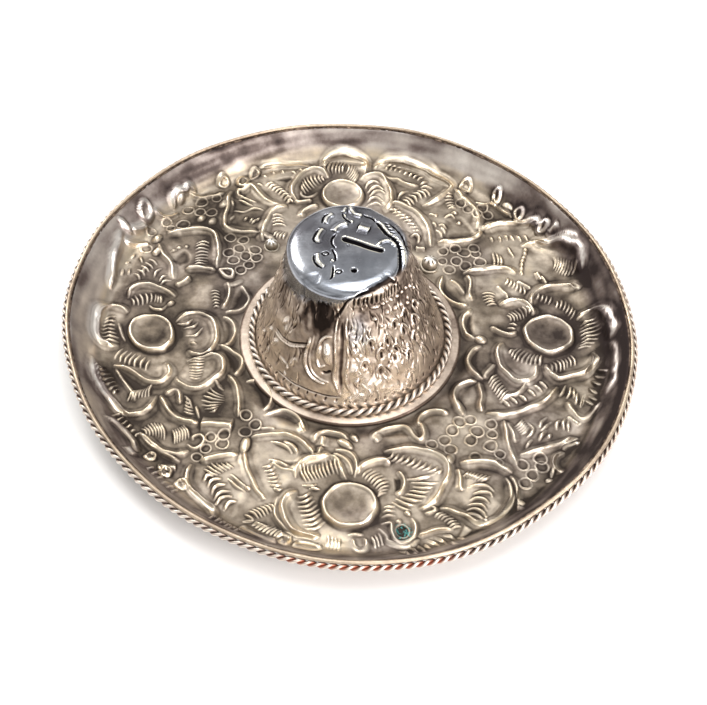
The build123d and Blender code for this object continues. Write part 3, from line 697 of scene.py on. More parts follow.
def front_right_field(m):
    m.ridge([(4.9, -32.4), (5.2, -30.6), (7, -29.2), (9.5, -28.2), (12, -28.1), (13.5, -29.2),
             (14.8, -31.3), (16, -32.3), (17.1, -31), (16.8, -28.5), (16.1, -26.3)], 1.3, 0.85)
    m.dome(6, -31.6, 1.5, 1.0, 55, 0.7)
    m.fill([(6, -31.5), (9.5, -28.6), (12.5, -28.6), (14.5, -31.5)], -0.3, 1.4)
    m.lobe([(7.3, -35.8), (9.5, -35), (13, -34.5), (16.5, -35), (19.5, -36), (21.5, -37.5), (22.5, -39.5),
            (22.3, -42), (21, -45), (19.5, -47.8), (17.5, -49.8), (15.5, -51.2)], 1.6, 1.0, 0.3, 3)
    m.dome(23, -37.6, 1.8, 1.0, 75, 0.9)
    m.comb([(7.5, -38.3), (10, -38.8), (12, -39.5), (14, -40.3), (16.5, -41), (18.6, -41.7)],
           [(9.6, -35.9), (12.7, -36.6), (15, -37.2), (17, -38.1), (18.8, -38.9), (20.9, -40.4)], 10,
           -0.4)
    m.stroke([(12.5, -43.2), (16, -43), (19, -41.8)], 0.9, 0.6)
    m.comb([(13.4, -44), (13.6, -45.6), (11.8, -47), (10, -48), (9, -49)],
           [(20, -44.2), (18, -45.9), (17, -47.7), (15, -49.2), (13.4, -51)], 7, -0.4, 0.7)
    m.ridge([(10.5, -41), (11.9, -43), (11.7, -45.5), (10, -47.3)], 1.0, 0.7)
    m.fill([(9.3, -42.5), (11.3, -43), (11.3, -45.5), (9.6, -46.5)], -0.35, 0.9)
    m.ridge([(6, -54.5), (8.5, -54.6), (8.6, -57), (9.6, -59), (11.2, -59.3), (13.2, -58), (13.9, -55.4),
             (13.3, -53)], 0.9, 0.65)
    m.ridge([(5.5, -55.5), (7.2, -57.5), (8, -59), (11.5, -60.2), (14.5, -58.5)], 1.0, 0.6)
    m.punch(11, -56.6, 1.5, 0.5)
    m.dome(12.5, -51.9, 0.8, height=0.6)
    m.dome(10.3, -54.2, 0.7, height=0.5)
    m.ridge([(15, -51), (17.3, -50.1), (18.7, -51), (16.2, -52.4)], 0.9, 0.6)
    m.comb([(18.3, -53.2), (20.4, -54.4), (21.8, -56)], [(20.6, -51.6), (22.8, -53), (24.2, -55.2)], 7,
           0.3)
    m.ridge([(14, -58), (16, -57), (19, -56), (22.5, -56)], 1.0, 0.6)
    for line in ([(16.5, -58.8), (18.2, -60), (18.8, -61.4)], [(18, -58), (20, -59.2), (20.5, -61)],
                 [(20, -57.3), (22, -58), (22.8, -59.6)], [(15.5, -60), (17, -61.6)],
                 [(14, -60), (15.3, -62), (15.4, -63.6)], [(12.3, -60.5), (13.7, -62.3), (13.6, -64)],
                 [(10, -61.6), (11.5, -62.8), (11.5, -64.2)], [(23, -58.6), (24.8, -60)],
                 [(21.4, -60.4), (22.6, -62)]):
        m.stroke(line, 0.75)
    m.fill([(24.8, -54.5), (26.8, -56), (25.5, -58), (22.5, -60)], 0.4, 0.9)
    m.lobe([(25, -38.8), (27, -38.3), (30, -38.2), (33, -38.9), (35, -39.9), (37.3, -41.4)], 2.0, 1.1, 0)
    m.ridge([(35.4, -42.6), (36.3, -45), (36.2, -48.4), (35, -51.2), (33.3, -53.3), (30.5, -55.3),
             (28, -54.7), (25.5, -52.8), (22, -51), (19.5, -50.5)], 1.6, 1.0)
    m.ridge([(36.6, -42), (37.5, -44.2), (37.9, -47), (37.6, -50), (37.2, -52.6)], 1.3, 0.8)
    m.ridge([(24.6, -40), (24.8, -43), (24.5, -46.2)], 1.3, 0.85)
    m.fill([(25, -40), (34.5, -41), (36, -47), (31, -54.8), (24, -50)], 0.3, 2.5)
    m.comb([(25.5, -42.5), (27.5, -43.2), (29.5, -44)], [(27, -40.8), (29.3, -41.2), (31.7, -42.2)], 7,
           -0.2)
    m.stroke([(26.2, -45.4), (28.6, -44.8), (31, -45.2), (32.6, -46.6)], 0.9)
    for line in ([(27.7, -47), (29.5, -46.6), (31.4, -47), (32, -48.2)],
                 [(26.6, -48.6), (28.2, -48), (30, -48.4), (31.2, -49.6)],
                 [(26, -50), (27.8, -49.7), (29.6, -50.1), (30.6, -51.6)],
                 [(25.8, -51.3), (27.8, -51), (29.5, -51.8), (30.4, -53.4)],
                 [(25.4, -52.6), (27.4, -52.3), (29, -53.2), (30, -54.7)]):
        m.stroke(line, 0.8, 0.6)
    for x, y, radius in ((26, -26.8, 1.5), (28.5, -26.2, 1.4), (24, -29.2, 1.45), (29.8, -29.7, 1.6),
                         (22.1, -32.1, 1.5), (28.1, -32.2, 1.55), (18.8, -33.3, 1.3), (23.2, -34.8, 1.4),
                         (33.4, -27.7, 1.4), (33.3, -30.6, 1.3), (32.8, -34, 1.5), (28.8, -37, 1.4),
                         (34.8, -36.2, 1.2), (34.4, -38.6, 1), (39.9, -39.2, 1.4), (44, -37.6, 1.5),
                         (44.2, -39.8, 1.5), (41.7, -42, 1.5), (39.7, -44.2, 1.4)):
        m.punch(x, y, radius)
    m.dome(38.5, -50, 1.1, 0.9, 60, 0.8)
    m.dome(38, -52, 1.0, 0.7, 90, 0.6)
    m.dome(45.4, -43.8, 0.9, 0.7, 0, 0.6)
    m.ridge([(36.7, -26.4), (36.9, -30), (37, -33.4), (37.6, -36.6), (38.6, -39.4)], 1.4, 0.85)
    m.ridge([(37.4, -27), (38.4, -30.4), (38.6, -33)], 1.2, 0.6)
    m.comb([(38.8, -28.6), (40, -30.8)], [(41.4, -26.4), (42.4, -28.6)], 5, -0.2)
    for line in ([(41.3, -31.8), (42.7, -30.6), (43.3, -29), (42.4, -27.3)],
                 [(44.3, -32.8), (45.3, -31), (46.6, -29.4)], [(45, -30), (46.5, -28.5), (48.2, -27)],
                 [(44.8, -29), (45.6, -27.2), (47.2, -25.6)],
                 [(48.8, -29.6), (49.2, -27.8), (50.2, -26.6)],
                 [(50.7, -29.6), (50.7, -27.6), (51.5, -26)], [(51.8, -30), (51.9, -27.8), (52.2, -26.6)],
                 [(46.6, -32), (47.4, -30.4)], [(40.8, -34.6), (42, -33), (43, -32.4)]):
        m.stroke(line, 0.8, 0.55)
    m.ridge([(39.5, -36.3), (42, -35.8), (45, -35), (48, -34), (51, -33), (53.5, -31.8)], 1.6, 1.0)
    m.ridge([(53.8, -33.6), (51, -34), (49.5, -35.2)], 1.0, 0.7)
    m.ridge([(50.3, -35.6), (48, -37), (47.2, -39), (47.7, -41), (48.7, -42.8)], 1.3, 0.85)
    m.stroke([(46, -43.2), (46.4, -41.4), (47, -40)], 0.8)
    m.ridge([(52, -25.6), (53.4, -26.8), (55, -28)], 0.9, 0.6)


def scallops(m):
    """The ring of hollow lobes next to the crown."""
    m.lobe([(-33.3, -3.8), (-31.2, -4.2), (-29, -5.3), (-27.2, -7.6), (-26.9, -9.8), (-27.6, -11.6),
            (-28.9, -13)], 1.1, 0.8, -0.45)
    m.lobe([(-25.8, -14.7), (-23.4, -14.3), (-21.6, -15), (-20.1, -17), (-19.4, -19.5), (-19.8, -21.8),
            (-21, -23.5)], 1.2, 0.8, -0.4)
    m.lobe([(-20.8, -25.4), (-19, -24.1), (-17, -23.3), (-15, -23.6), (-13, -25), (-11.8, -27),
            (-11.1, -29.8)], 1.3, 0.85, -0.4)
    m.ridge([(-12.6, -26.6), (-12.2, -28.4), (-11.4, -30)], 1.3, 0.7)
    m.lobe([(-9.6, -32.7), (-8.2, -30.7), (-6.2, -29.7), (-3.6, -29.6), (-2, -30.3), (-0.8, -31.8)], 1.3,
           0.85, -0.35)
    m.ridge([(-7.2, -34), (-6.6, -31)], 1.8, 0.7)
    m.dome(-1.6, -33, 2.2, 1.1, -50, 0.9)
    m.dome(0.6, -31.2, 1.5, 0.9, -70, 0.7)
    m.ridge([(-7.2, -34), (-8, -36), (-9.5, -36.2)], 1.1, 0.7)
    m.lobe([(16.1, -28.5), (15.9, -26.8), (16.8, -25), (18.5, -23.8), (21, -23.8), (23.5, -24.6)], 1.2,
           0.8, -0.3)
    m.lobe([(31.2, -15.2), (29.4, -15), (27.3, -15.7), (25.7, -17), (24.9, -19), (25.2, -21), (26, -23.5),
            (27, -24.7)], 1.2, 0.85, -0.35)
    m.dome(26.6, -22.8, 2.3, 0.9, -72, 0.6)
    m.lobe([(33.2, -3.9), (31, -4.9), (29.8, -7), (29.3, -9), (29.8, -11.3), (31, -13.3), (32.8, -14.5)],
           1.2, 0.85, -0.45)
    m.ridge([(36, -9.8), (34.6, -11.4), (33.4, -12.8), (32.7, -14.4)], 1.5, 0.7)
    m.lobe([(31.5, 8), (29.5, 6), (28.8, 3.5), (29.3, 0.5), (30.4, -1), (31.8, -2)], 1.2, 0.85, -0.45)
    m.dome(33, -1.9, 1.6, 1.25, -15, 0.9)
    m.lobe([(24.6, 19.5), (23.8, 16.5), (24, 14), (25.6, 11.4), (28.4, 9.8), (30.6, 9.6)], 1.2, 0.85,
           -0.4)
    m.ridge([(26.6, 17.8), (28.6, 15.6), (29.8, 12.8)], 1.0, 0.5)
    for x, y, angle in ((-29.6, 16.8, 35), (-21.5, 33.4, -30), (14.6, 33.8, 20), (-10.4, 33.6, 10),
                        (2.4, 35.4, 0)):
        m.dome(x, y, 2.2, 1.1, angle, 0.55)


def brim_chasing():
    m = Metal(-70, -70, 140, 140, 0.1)
    scallops(m)
    left_leaves(m)
    right_leaves(m)
    back_left_field(m)
    back_left_leaves(m)
    back_right_leaves(m)
    front_left_field(m)
    front_leaf(m)
    front_right_field(m)
    left_flower(m)
    back_flower(m)
    right_flower(m)
    front_flower(m)
    rows, columns = m.field.shape
    x, y = np.meshgrid(np.arange(columns) * m.cell + m.left, np.arange(rows) * m.cell + m.bottom)
    radius = np.hypot(x, y)
    base = FIELD_RISE * smooth((radius - FIELD_INNER_RADIUS) / 4)
    base *= 1 - smooth((radius - FIELD_OUTER_RADIUS) / 4)
    on_field = smooth((radius - 29) / 3) * (1 - smooth((radius - 62) / 3))
    busy = smooth((x - 12) / 15)
    base = base + on_field * (0.09 * m.noise(2.4) + (0.02 + 0.05 * busy) * m.noise(1.0)
                              + 0.012 * m.noise(0.4))
    base = base + 0.07 * m.noise(4.5)
    # Tone by region: darker to the left and right than to the front and back, darker again on the left
    # and at the back, lighter at the back right.
    m.tone_shift -= 0.055 * np.cos(2 * np.arctan2(y, x)) * smooth((radius - 25) / 20) + 0.03
    m.tone_shift -= 0.075 * smooth((-x - 12) / 25) * smooth((y + 45) / 20) + 0.055 * smooth((y - 30) / 15)
    m.tone_shift += 0.07 * smooth((x - 15) / 12) * smooth((y - 8) / 12)
    m.finish(base, wobble=0.11)
    return m


# ---------------------------------------------------------------- ornament of the crown

def crown_wall_chasing():
    """Unrolled wall: x runs round the crown (arc at the mean radius), y is the height."""
    around = 2 * math.pi * CROWN_UNROLL_RADIUS
    m = Metal(-around / 2, 0, around, 36, 0.1)

    def line(*places):
        """Places on the wall, given as degrees round the crown and heights."""
        return [(math.radians(degrees) * CROWN_UNROLL_RADIUS, height) for degrees, height in places]

    def motif(*places):
        """The same for the ornament above the foot, with heights from the ornament's own foot line."""
        return line(*((degrees, height + CROWN_ORNAMENT_FOOT) for degrees, height in places))

    for _ in range(560):
        degrees = rng.uniform(-180, 180)
        height = rng.uniform(4.5, 31)
        length = rng.uniform(2.0, 5.2)
        lean = rng.normal(0, 2.2)
        if -122 < degrees < -92 and height < 24:
            continue
        places = ((degrees, height), (degrees + lean / 2 + 0.9, height + length / 2),
                  (degrees + lean, height + length))
        m.groove(line(*places), rng.uniform(0.42, 0.65), rng.uniform(0.12, 0.3), 0.35)
    for k in range(520):
        degrees = rng.uniform(-180, 180)
        height = rng.uniform(4, 30)
        length = rng.uniform(1.4, 3.6)
        if -122 < degrees < -92 and height < 24 or degrees < -122 and k % 3:
            continue
        bow = rng.choice([-1.6, 1.6])
        m.stroke(line((degrees, height), (degrees + bow, height + length / 2),
                      (degrees, height + length)), rng.uniform(0.36, 0.52), rng.uniform(0.18, 0.34))
    for side in (-100.4, -92.2):
        m.line(motif((side, 25), (side - 0.6, 20), (side + 0.4, 15), (side - 0.4, 9), (side + 1.4, 6),
                     (side + 3, 4.2)), 0.9, 0.55)
    m.groove(motif((-97, 4.5), (-96.4, 10), (-96.6, 16), (-96, 24)), 1.3, 0.45)
    outer = ((-120.2, 18), (-121.7, 14), (-121.2, 10.5), (-118, 8.5), (-112, 7), (-107, 6.5))
    inner = ((-103.2, 19.5), (-108, 19.2), (-112.2, 17.5), (-113.7, 15), (-113.2, 12.2), (-111, 11.2),
             (-107.5, 11.8))
    m.line(motif(*outer), 1.2, 0.6)
    m.line(motif(*((degrees + 2.6, height + 0.6) for degrees, height in outer)), 0.7, 0.35)
    m.line(motif(*inner), 0.9, 0.55)
    [(x, y)] = motif((-106, 15))
    m.dome(x, y, 1.1, 2.9, 8, 0.6)
    m.dome(x - 2.1, y + 0.3, 0.7, 2.0, 0, 0.4)
    m.groove(motif((-109, 10), (-106, 9.6), (-103, 10.6)), 1.0, 0.4)
    m.groove(motif((-155, 13), (-144, 12.8), (-135, 13.6), (-120, 16.5)), 0.6, 0.4)
    m.line(motif((-154, 12), (-144, 11.8), (-135, 12.5), (-122, 15.2)), 0.6, 0.4)
    [(x, y)] = motif((-141, 7.2))
    m.dome(x, y, 2.2, 0.8, 0, 0.5)
    for x, y in motif((-159, 10.5), (-167, 6.5), (-150, 9.6), (-130, 9.2), (-146, 17.5), (-137, 19)):
        m.dome(x, y, 1.6, 0.75, 65, 0.5)
    for x, y in motif((-53, 20), (-62, 17), (-68, 14), (-56, 13.5), (-59, 12), (-46, 17), (-40, 20.5),
                      (-74, 17.5), (-80, 12), (-33, 17), (-26, 20), (-48, 10), (-38, 13), (-70, 9.5)):
        m.groove([(x, y - 1.2), (x, y + 0.9)], 0.9, 0.45, 0.3)
        m.line([(x - 0.95, y - 1.8), (x - 1.05, y + 0.6), (x, y + 2.0), (x + 1.05, y + 0.6),
                (x + 0.95, y - 1.8)], 0.62, 0.5)
    [(x, y)] = motif((-67.5, 27))
    m.dome(x, y, 0.55 * 2.6, 0.55, 0, 0.6)
    for x, y in motif((-60, 27), (-55, 27), (-50, 27), (-43, 26.6), (-69, 24), (-41.5, 23.8), (-34, 22.8),
                      (-20, 24), (-64, 21.6), (-44, 21.2)):
        m.dome(x, y, 0.55 * 1.2, 0.55, 0, 0.6)
    for x, y in motif((-37, 26.4), (-31, 26.4), (-25, 25.6)):
        m.dome(x, y, 0.55 * 1.1, 0.55, 0, 0.6)
    for x, y in motif((-57, 24.2), (-48, 24)):
        m.dome(x, y, 0.55 * 1.4, 0.55, 0, 0.6)
    for degrees in (-86, -82, -77, -74, -70, -66, -62, -58, -55, -52, -48, -44, -40):
        m.groove(motif((degrees, 27.8), (degrees + 0.8, 30.4)), 1.0, 0.55, 0.3)
    m.groove(motif((-103, 24.5), (-97, 27), (-92, 29.5), (-82, 31), (-62, 31.5), (-47, 31.5), (-42, 30.4),
                   (-38, 31.2)), 1.1, 0.65, 0.08)
    m.groove(motif((-142, 3.3), (-125, 3.3), (-110, 3.2), (-96, 3.6)), 0.5, 0.45, 0.1)
    for k in range(60):
        m.groove(line((-178 + 6 * k, 3.8), (-177 + 6 * k, 4.9)), 0.55, 0.3, 0.2)
    height = np.arange(len(m.field))[:, None] * m.cell
    calm = smooth((height - 3.0) / 2)
    m.tone_shift += 0.07
    m.finish(calm * (0.12 * m.noise(1.4) + 0.025 * m.noise(0.35)), 0.4, 1.4, 0.9, 0.12)
    return m


def crown_top_chasing():
    """The polished top, seen from above, measured from the crown's axis."""
    m = Metal(-16, -16, 32, 32, 0.05)
    for points, width in (([(-3.5, 10.2), (-4.8, 9), (-5.5, 7)], 0.9),
                          ([(-6, 5.3), (-6.8, 3.5), (-7.2, 2), (-6.9, 0.8)], 1.1),
                          ([(-7.2, -2.3), (-7, -4.3), (-6.5, -5.5), (-5.6, -6.5)], 0.9),
                          ([(-0.2, 6.9), (-1.8, 6.2), (-2.8, 5.2), (-3.2, 4.2)], 1.3),
                          ([(0.5, 12.5), (0.9, 11.2), (1.8, 10.1), (3.4, 9.6)], 1.0),
                          ([(-0.4, 12), (-1, 10.6)], 0.8), ([(2.4, 6), (5, 5)], 1.9)):
        m.ridge(points, width, 0.45, 0.08)
    for points in ([(-4.4, 10.4), (-5.7, 9), (-6.2, 7)],
                   [(-6.9, 5.2), (-7.8, 3.3), (-8.1, 1.8), (-7.5, 0.6)],
                   [(-8, -2.6), (-7.9, -4.4), (-7.2, -6), (-6, -7)],
                   [(-1.2, 10.4), (-1, 9), (-0.2, 8), (0.8, 7.2)],
                   [(-2.8, 3.6), (-3.8, 2), (-3.8, 0.4), (-3, -1)], [(-4, -1), (-3.2, -3), (-2.9, -4.8)],
                   [(-3.5, -6), (-3.6, -8), (-3.8, -9.5), (-4.3, -10.3)],
                   [(3.6, 9.8), (5.6, 8.9), (6.6, 7.6)]):
        m.groove(points, 0.6, 0.4)
    m.dome(-0.8, 9.5, 0.45, height=0.35)
    m.dome(0.9, 7.6, 0.45, height=0.35)
    m.dome(-3.7, -4.6, 0.4, height=0.3)
    for x, y in ((-5.4, -2.5), (-2.3, -7.9)):
        m.groove([(x - 0.8, y), (x, y + 0.6), (x + 0.8, y), (x, y - 0.6)], 0.4, 0.3, closed=True)
    m.groove([(-1.4, 2.2), (1.5, 1.1), (4.5, -0.3), (6.6, -1.2), (8.1, -1.8)], 1.7, 0.9, 0.06)
    m.ridge([(6.7, -0.2), (7.4, 0.9), (8.9, 1.5), (10.2, 0.9), (10.9, -0.4)], 0.8, 0.4)
    m.groove([(1.15, -7.7), (1.25, -7.7)], 1.6, 0.7, 0)
    edge = [(6.6, 7.6), (7.8, 5.6), (8.9, 3.6), (10.3, 2.2), (11.5, 0.2), (11.9, -3), (11.6, -6.5),
            (10.2, -9.6), (7.4, -12), (4, -13.2), (1.6, -14.2), (0.2, -15.6)]
    m.groove(edge, 0.9, 0.55, 0.05)
    m.ridge([(x * 1.07, y * 1.07) for x, y in edge], 0.7, 0.4, 0.05)
    for k in range(9):
        x, y = 8.3 + 0.42 * k, 7.2 - 1.02 * k
        m.groove([(x, y), (x + 1.2, y - 0.3)], 0.5, 0.35, 0.2)
    m.groove([(9.4, 7.6), (11.2, 5), (12.6, 2), (13.4, -1.4)], 0.6, 0.4)
    m.fill([(-11.5, -8.4), (-6.5, -8), (-6.4, -11.2), (-10.6, -11.6)], -0.15, 1.2)
    m.finish(0.05 * m.noise(2.5), 0.3, 1.2, wobble=0.04, clouds=0.3)
    return m


# ---------------------------------------------------------------- meshes

def new_piece(name, vertices, faces, values, material):
    """A smooth-shaded mesh from points in millimetres, face indices and a patina value per point."""
    mesh = bpy.data.meshes.new(name)
    corners = [np.asarray(block) for block in faces]
    totals = np.concatenate([np.full(len(block), block.shape[1]) for block in corners])
    loops = np.concatenate([block.ravel() for block in corners])
    mesh.vertices.add(len(vertices))
    mesh.vertices.foreach_set("co", (np.asarray(vertices) * MM).astype(np.float32).ravel())
    mesh.loops.add(len(loops))
    mesh.loops.foreach_set("vertex_index", loops.astype(np.int32))
    mesh.polygons.add(len(totals))
    starts = np.concatenate([[0], np.cumsum(totals)[:-1]])
    mesh.polygons.foreach_set("loop_start", starts.astype(np.int32))
    mesh.polygons.foreach_set("use_smooth", np.ones(len(totals), bool))
    mesh.update(calc_edges=True)
    mesh.validate()
    layer = mesh.attributes.new("patina", "FLOAT", "POINT")
    layer.data.foreach_set("value", np.asarray(values, np.float32))
    mesh.materials.append(material)
    piece = bpy.data.objects.new(name, mesh)
    bpy.context.scene.collection.objects.link(piece)
    return piece


def ring_faces(first, count, second, wider=1):
    """Faces between two rings of vertices. The second ring has 1, 2 or 1/2 times as many."""
    k = np.arange(count)
    n = (k + 1) % count
    if wider == 2:
        a, b = first + k, first + n
        c, d, e = second + (2 * k + 2) % (2 * count), second + 2 * k + 1, second + 2 * k
        return np.stack([a, b, c, d, e], 1)
    if wider == 0.5:
        half = count // 2
        k = np.arange(half)
        n = (k + 1) % half
        a, b, c = first + 2 * k, first + 2 * k + 1, first + (2 * k + 2) % count
        return np.stack([a, b, c, second + n, second + k], 1)
    return np.stack([first + k, first + n, second + n, second + k], 1)


def ring_mesh(rings, closed=False, poles=()):
    """Joins rings of points into faces. rings is a list of (count, 3) arrays; poles close the ends."""
    starts = np.cumsum([0] + [len(r) for r in rings])
    faces = []
    pairs = list(range(len(rings) - 1)) + ([len(rings) - 1] if closed else [])
    for k in pairs:
        after = (k + 1) % len(rings)
        ratio = len(rings[after]) / len(rings[k])
        faces.append(ring_faces(starts[k], len(rings[k]), starts[after], ratio))
    vertices = np.vstack(rings)
    for pole, row, flip in poles:
        count = len(rings[row])
        k = starts[row] + np.arange(count)
        n = starts[row] + (np.arange(count) + 1) % count
        tip = np.full(count, len(vertices))
        faces.append(np.stack([tip, n, k] if flip else [tip, k, n], 1))
        vertices = np.vstack([vertices, pole])
    return vertices, faces


# The dish was raised by hand, so its rim isn't a true circle and doesn't lie level.
RIM_TURN = math.radians(2.2)
RIM_DENTS = [(n, rng.uniform(0.02, 0.09), rng.uniform(0, 2 * math.pi)) for n in (3, 5, 7, 9, 13)]

# Where the lip is pushed out or in: (degrees round the dish, millimetres)
RIM_SWELL = ((-180, 0.5), (-150, 0.1), (-120, 0.0), (-90, 0.5), (-70, 0.45), (-50, 0.05), (-30, 0.9),
             (-10, 0.7), (10, 0.1), (45, 0.0), (60, 0.9), (80, 1.1), (95, 0.6), (110, 0.6), (130, 0.15),
             (150, -0.15), (168, 0.1))


def lip_swell(turn):
    """The lip's own dents, eased so that they run into each other."""
    grid = np.linspace(-180, 180, 361)
    places, sizes = np.array(RIM_SWELL, float).T
    raw = np.interp(grid[:-1], places, sizes, period=360)
    spread = np.exp(-(np.minimum(np.arange(360), 360 - np.arange(360)) / 6.0) ** 2)
    eased = np.fft.irfft(np.fft.rfft(raw) * np.fft.rfft(spread / spread.sum()), 360)
    return np.interp(np.degrees(turn), grid[:-1], eased, period=360)


def warped(x, y, z):
    """Moves points from the true dish to the uneven one."""
    radius = np.hypot(x, y)
    turn = np.arctan2(y, x) + RIM_TURN
    out = smooth((radius - 45) / 23)
    up = smooth((radius - 58) / 9)
    swell = 0.22 * np.cos(2 * turn) - 1.49 * np.sin(2 * turn)
    rise = 1.4 * np.cos(2 * turn) + 0.35 * np.sin(2 * turn)
    for n, size, phase in RIM_DENTS:
        swell = swell + size * np.sin(n * turn + phase)
        rise = rise + 0.8 * size * np.cos(n * turn + 2 * phase)
    swell = swell + smooth((radius - 60) / 6) * lip_swell(np.arctan2(y, x))
    grow = 1 + out * swell / BRIM_HIGH[0]
    return x * grow - 0.56 * out, y * grow + 1.12 * out, z + up * rise


def brim_section():
    """The middle line of the brim sheet from the hole to the lip, as a function, and its length."""
    reach = BEND_RADIUS * math.tan(WALL_ANGLE / 2)
    bend_start = FLOOR_CORNER_RADIUS - reach
    wall_radius = FLOOR_CORNER_RADIUS + reach * math.cos(WALL_ANGLE)
    wall_height = HALF_SHEET + reach * math.sin(WALL_ANGLE)
    wall_length = (LIP_HEIGHT - wall_height) / math.sin(WALL_ANGLE)
    bend_length = BEND_RADIUS * WALL_ANGLE

    def place(s):
        """Radius, height and slope at this distance from the hole."""
        flat = bend_start - HOLE_RADIUS
        if s <= flat:
            return HOLE_RADIUS + s, HALF_SHEET, 0.0
        if s <= flat + bend_length:
            a = (s - flat) / BEND_RADIUS
            return bend_start + BEND_RADIUS * math.sin(a), HALF_SHEET + BEND_RADIUS * (1 - math.cos(a)), a
        t = s - flat - bend_length
        return wall_radius + t * math.cos(WALL_ANGLE), wall_height + t * math.sin(WALL_ANGLE), WALL_ANGLE

    total = bend_start - HOLE_RADIUS + bend_length + wall_length
    return place, total


# Spacing of the brim's mesh, fine where the chasing is
BRIM_AROUND = 1600
FINE_STEP = 0.235
WALL_STEP = 0.5
UNDERSIDE_STEP = 0.9
FINE_FROM = 35.0
FINE_TO = 64.8


def brim_ring(place, s, count, offset, chasing, share):
    """One ring of the brim at this distance along its section, pushed out by the chasing."""
    radius, height, slope = place(s)
    turn = np.arange(count) * 2 * math.pi / count
    x, y, z = warped(radius * np.cos(turn), radius * np.sin(turn), np.full(count, height))
    relief = chasing.sample(chasing.height if offset > 0 else chasing.soft, x, y) * share
    push = offset + relief
    x = x - np.cos(turn) * math.sin(slope) * push
    y = y - np.sin(turn) * math.sin(slope) * push
    z = z + math.cos(slope) * push
    if offset < 0:
        z = np.maximum(z, 0.0)
    return np.stack([x, y, z], 1)


# How bright the plain wall of the dish is in each direction: tarnish, and on the left and back a painted
# reflection of the lights: (degrees round the dish, polish and painted reflection)
WALL_POLISH_AND_REFLECTION = ((-180, 0.92), (-160, 0.74), (-145, 0.50), (-115, 0.44), (-60, 0.40), (-20, 0.36),
               (25, 0.36), (42, 0.50), (60, 0.72), (80, 0.68), (100, 0.66), (120, 0.70), (150, 0.84))


def wall_tarnish_and_reflection(degrees):
    """Patina of the plain wall in this direction, with painted reflection where it is bright."""
    places, shares = np.array(WALL_POLISH_AND_REFLECTION, float).T
    return np.interp(degrees, places, shares, period=360)


def make_brim(material):
    """The dish as one closed sheet: chased floor, plain wall, rounded lip and soft underside."""
    chasing = brim_chasing()
    chasing.soft = chasing.blurred(chasing.height, 0.7)
    chasing.streaks = chasing.noise(1.6)
    place, total = brim_section()
    rings = []
    s = 0.0
    while s < total:
        radius = place(s)[0]
        fine = FINE_FROM <= radius <= FINE_TO
        rings.append(brim_ring(place, s, BRIM_AROUND if fine else BRIM_AROUND // 2, HALF_SHEET, chasing,
                               1.0))
        s += FINE_STEP if radius < FINE_TO else WALL_STEP
    for k in range(1, 6):
        a = math.pi * k / 6
        ring = brim_ring(place, total, BRIM_AROUND // 2, 0.0, chasing, 0.0)
        turn = np.arange(len(ring)) * 2 * math.pi / len(ring)
        along = HALF_SHEET * math.sin(a)
        across = HALF_SHEET * math.cos(a)
        out = along * math.cos(WALL_ANGLE) - across * math.sin(WALL_ANGLE)
        up = along * math.sin(WALL_ANGLE) + across * math.cos(WALL_ANGLE)
        rings.append(ring + np.stack([out * np.cos(turn), out * np.sin(turn), np.full(len(ring), up)], 1))
    top_rings = len(rings)
    s = total
    while s > 0:
        rings.append(brim_ring(place, s, BRIM_AROUND // 2, -HALF_SHEET, chasing, 1.0))
        s -= UNDERSIDE_STEP
    vertices, faces = ring_mesh(rings, closed=True)
    values = chasing.sample(chasing.patina, vertices[:, 0], vertices[:, 1])
    radius = np.hypot(vertices[:, 0], vertices[:, 1])
    under = np.arange(len(vertices)) >= sum(len(r) for r in rings[:top_rings])
    values = np.where(under, 0.35, values)
    degrees = np.degrees(np.arctan2(vertices[:, 1], vertices[:, 0]))
    from_front = np.abs((degrees + 270) % 360 - 180)
    blots = chasing.sample(chasing.streaks, vertices[:, 0], vertices[:, 1])
    wipes = chasing.sample(chasing.streaks, 0.7 * from_front - 63, 5 * (radius - 64))
    # The wall's tone: tarnish and painted reflection by direction, streaks and blots, and a darker top
    # band under the lip wire.
    wall = wall_tarnish_and_reflection(degrees) + 0.045 * blots + 0.06 * wipes - 0.2 * smooth((radius - 66.4) / 1.4)
    on_wall = smooth((radius - 60.5) / 3.5)
    values = np.where(under, values, values * (1 - on_wall) + on_wall * (wall + values - FLAT_PATINA))
    return new_piece("chased_brim", vertices, faces, values, material)


# Spacing of the crown's mesh
CROWN_AROUND = 720
CROWN_DOME_STEP = 0.25
CROWN_WALL_STEP = 0.21


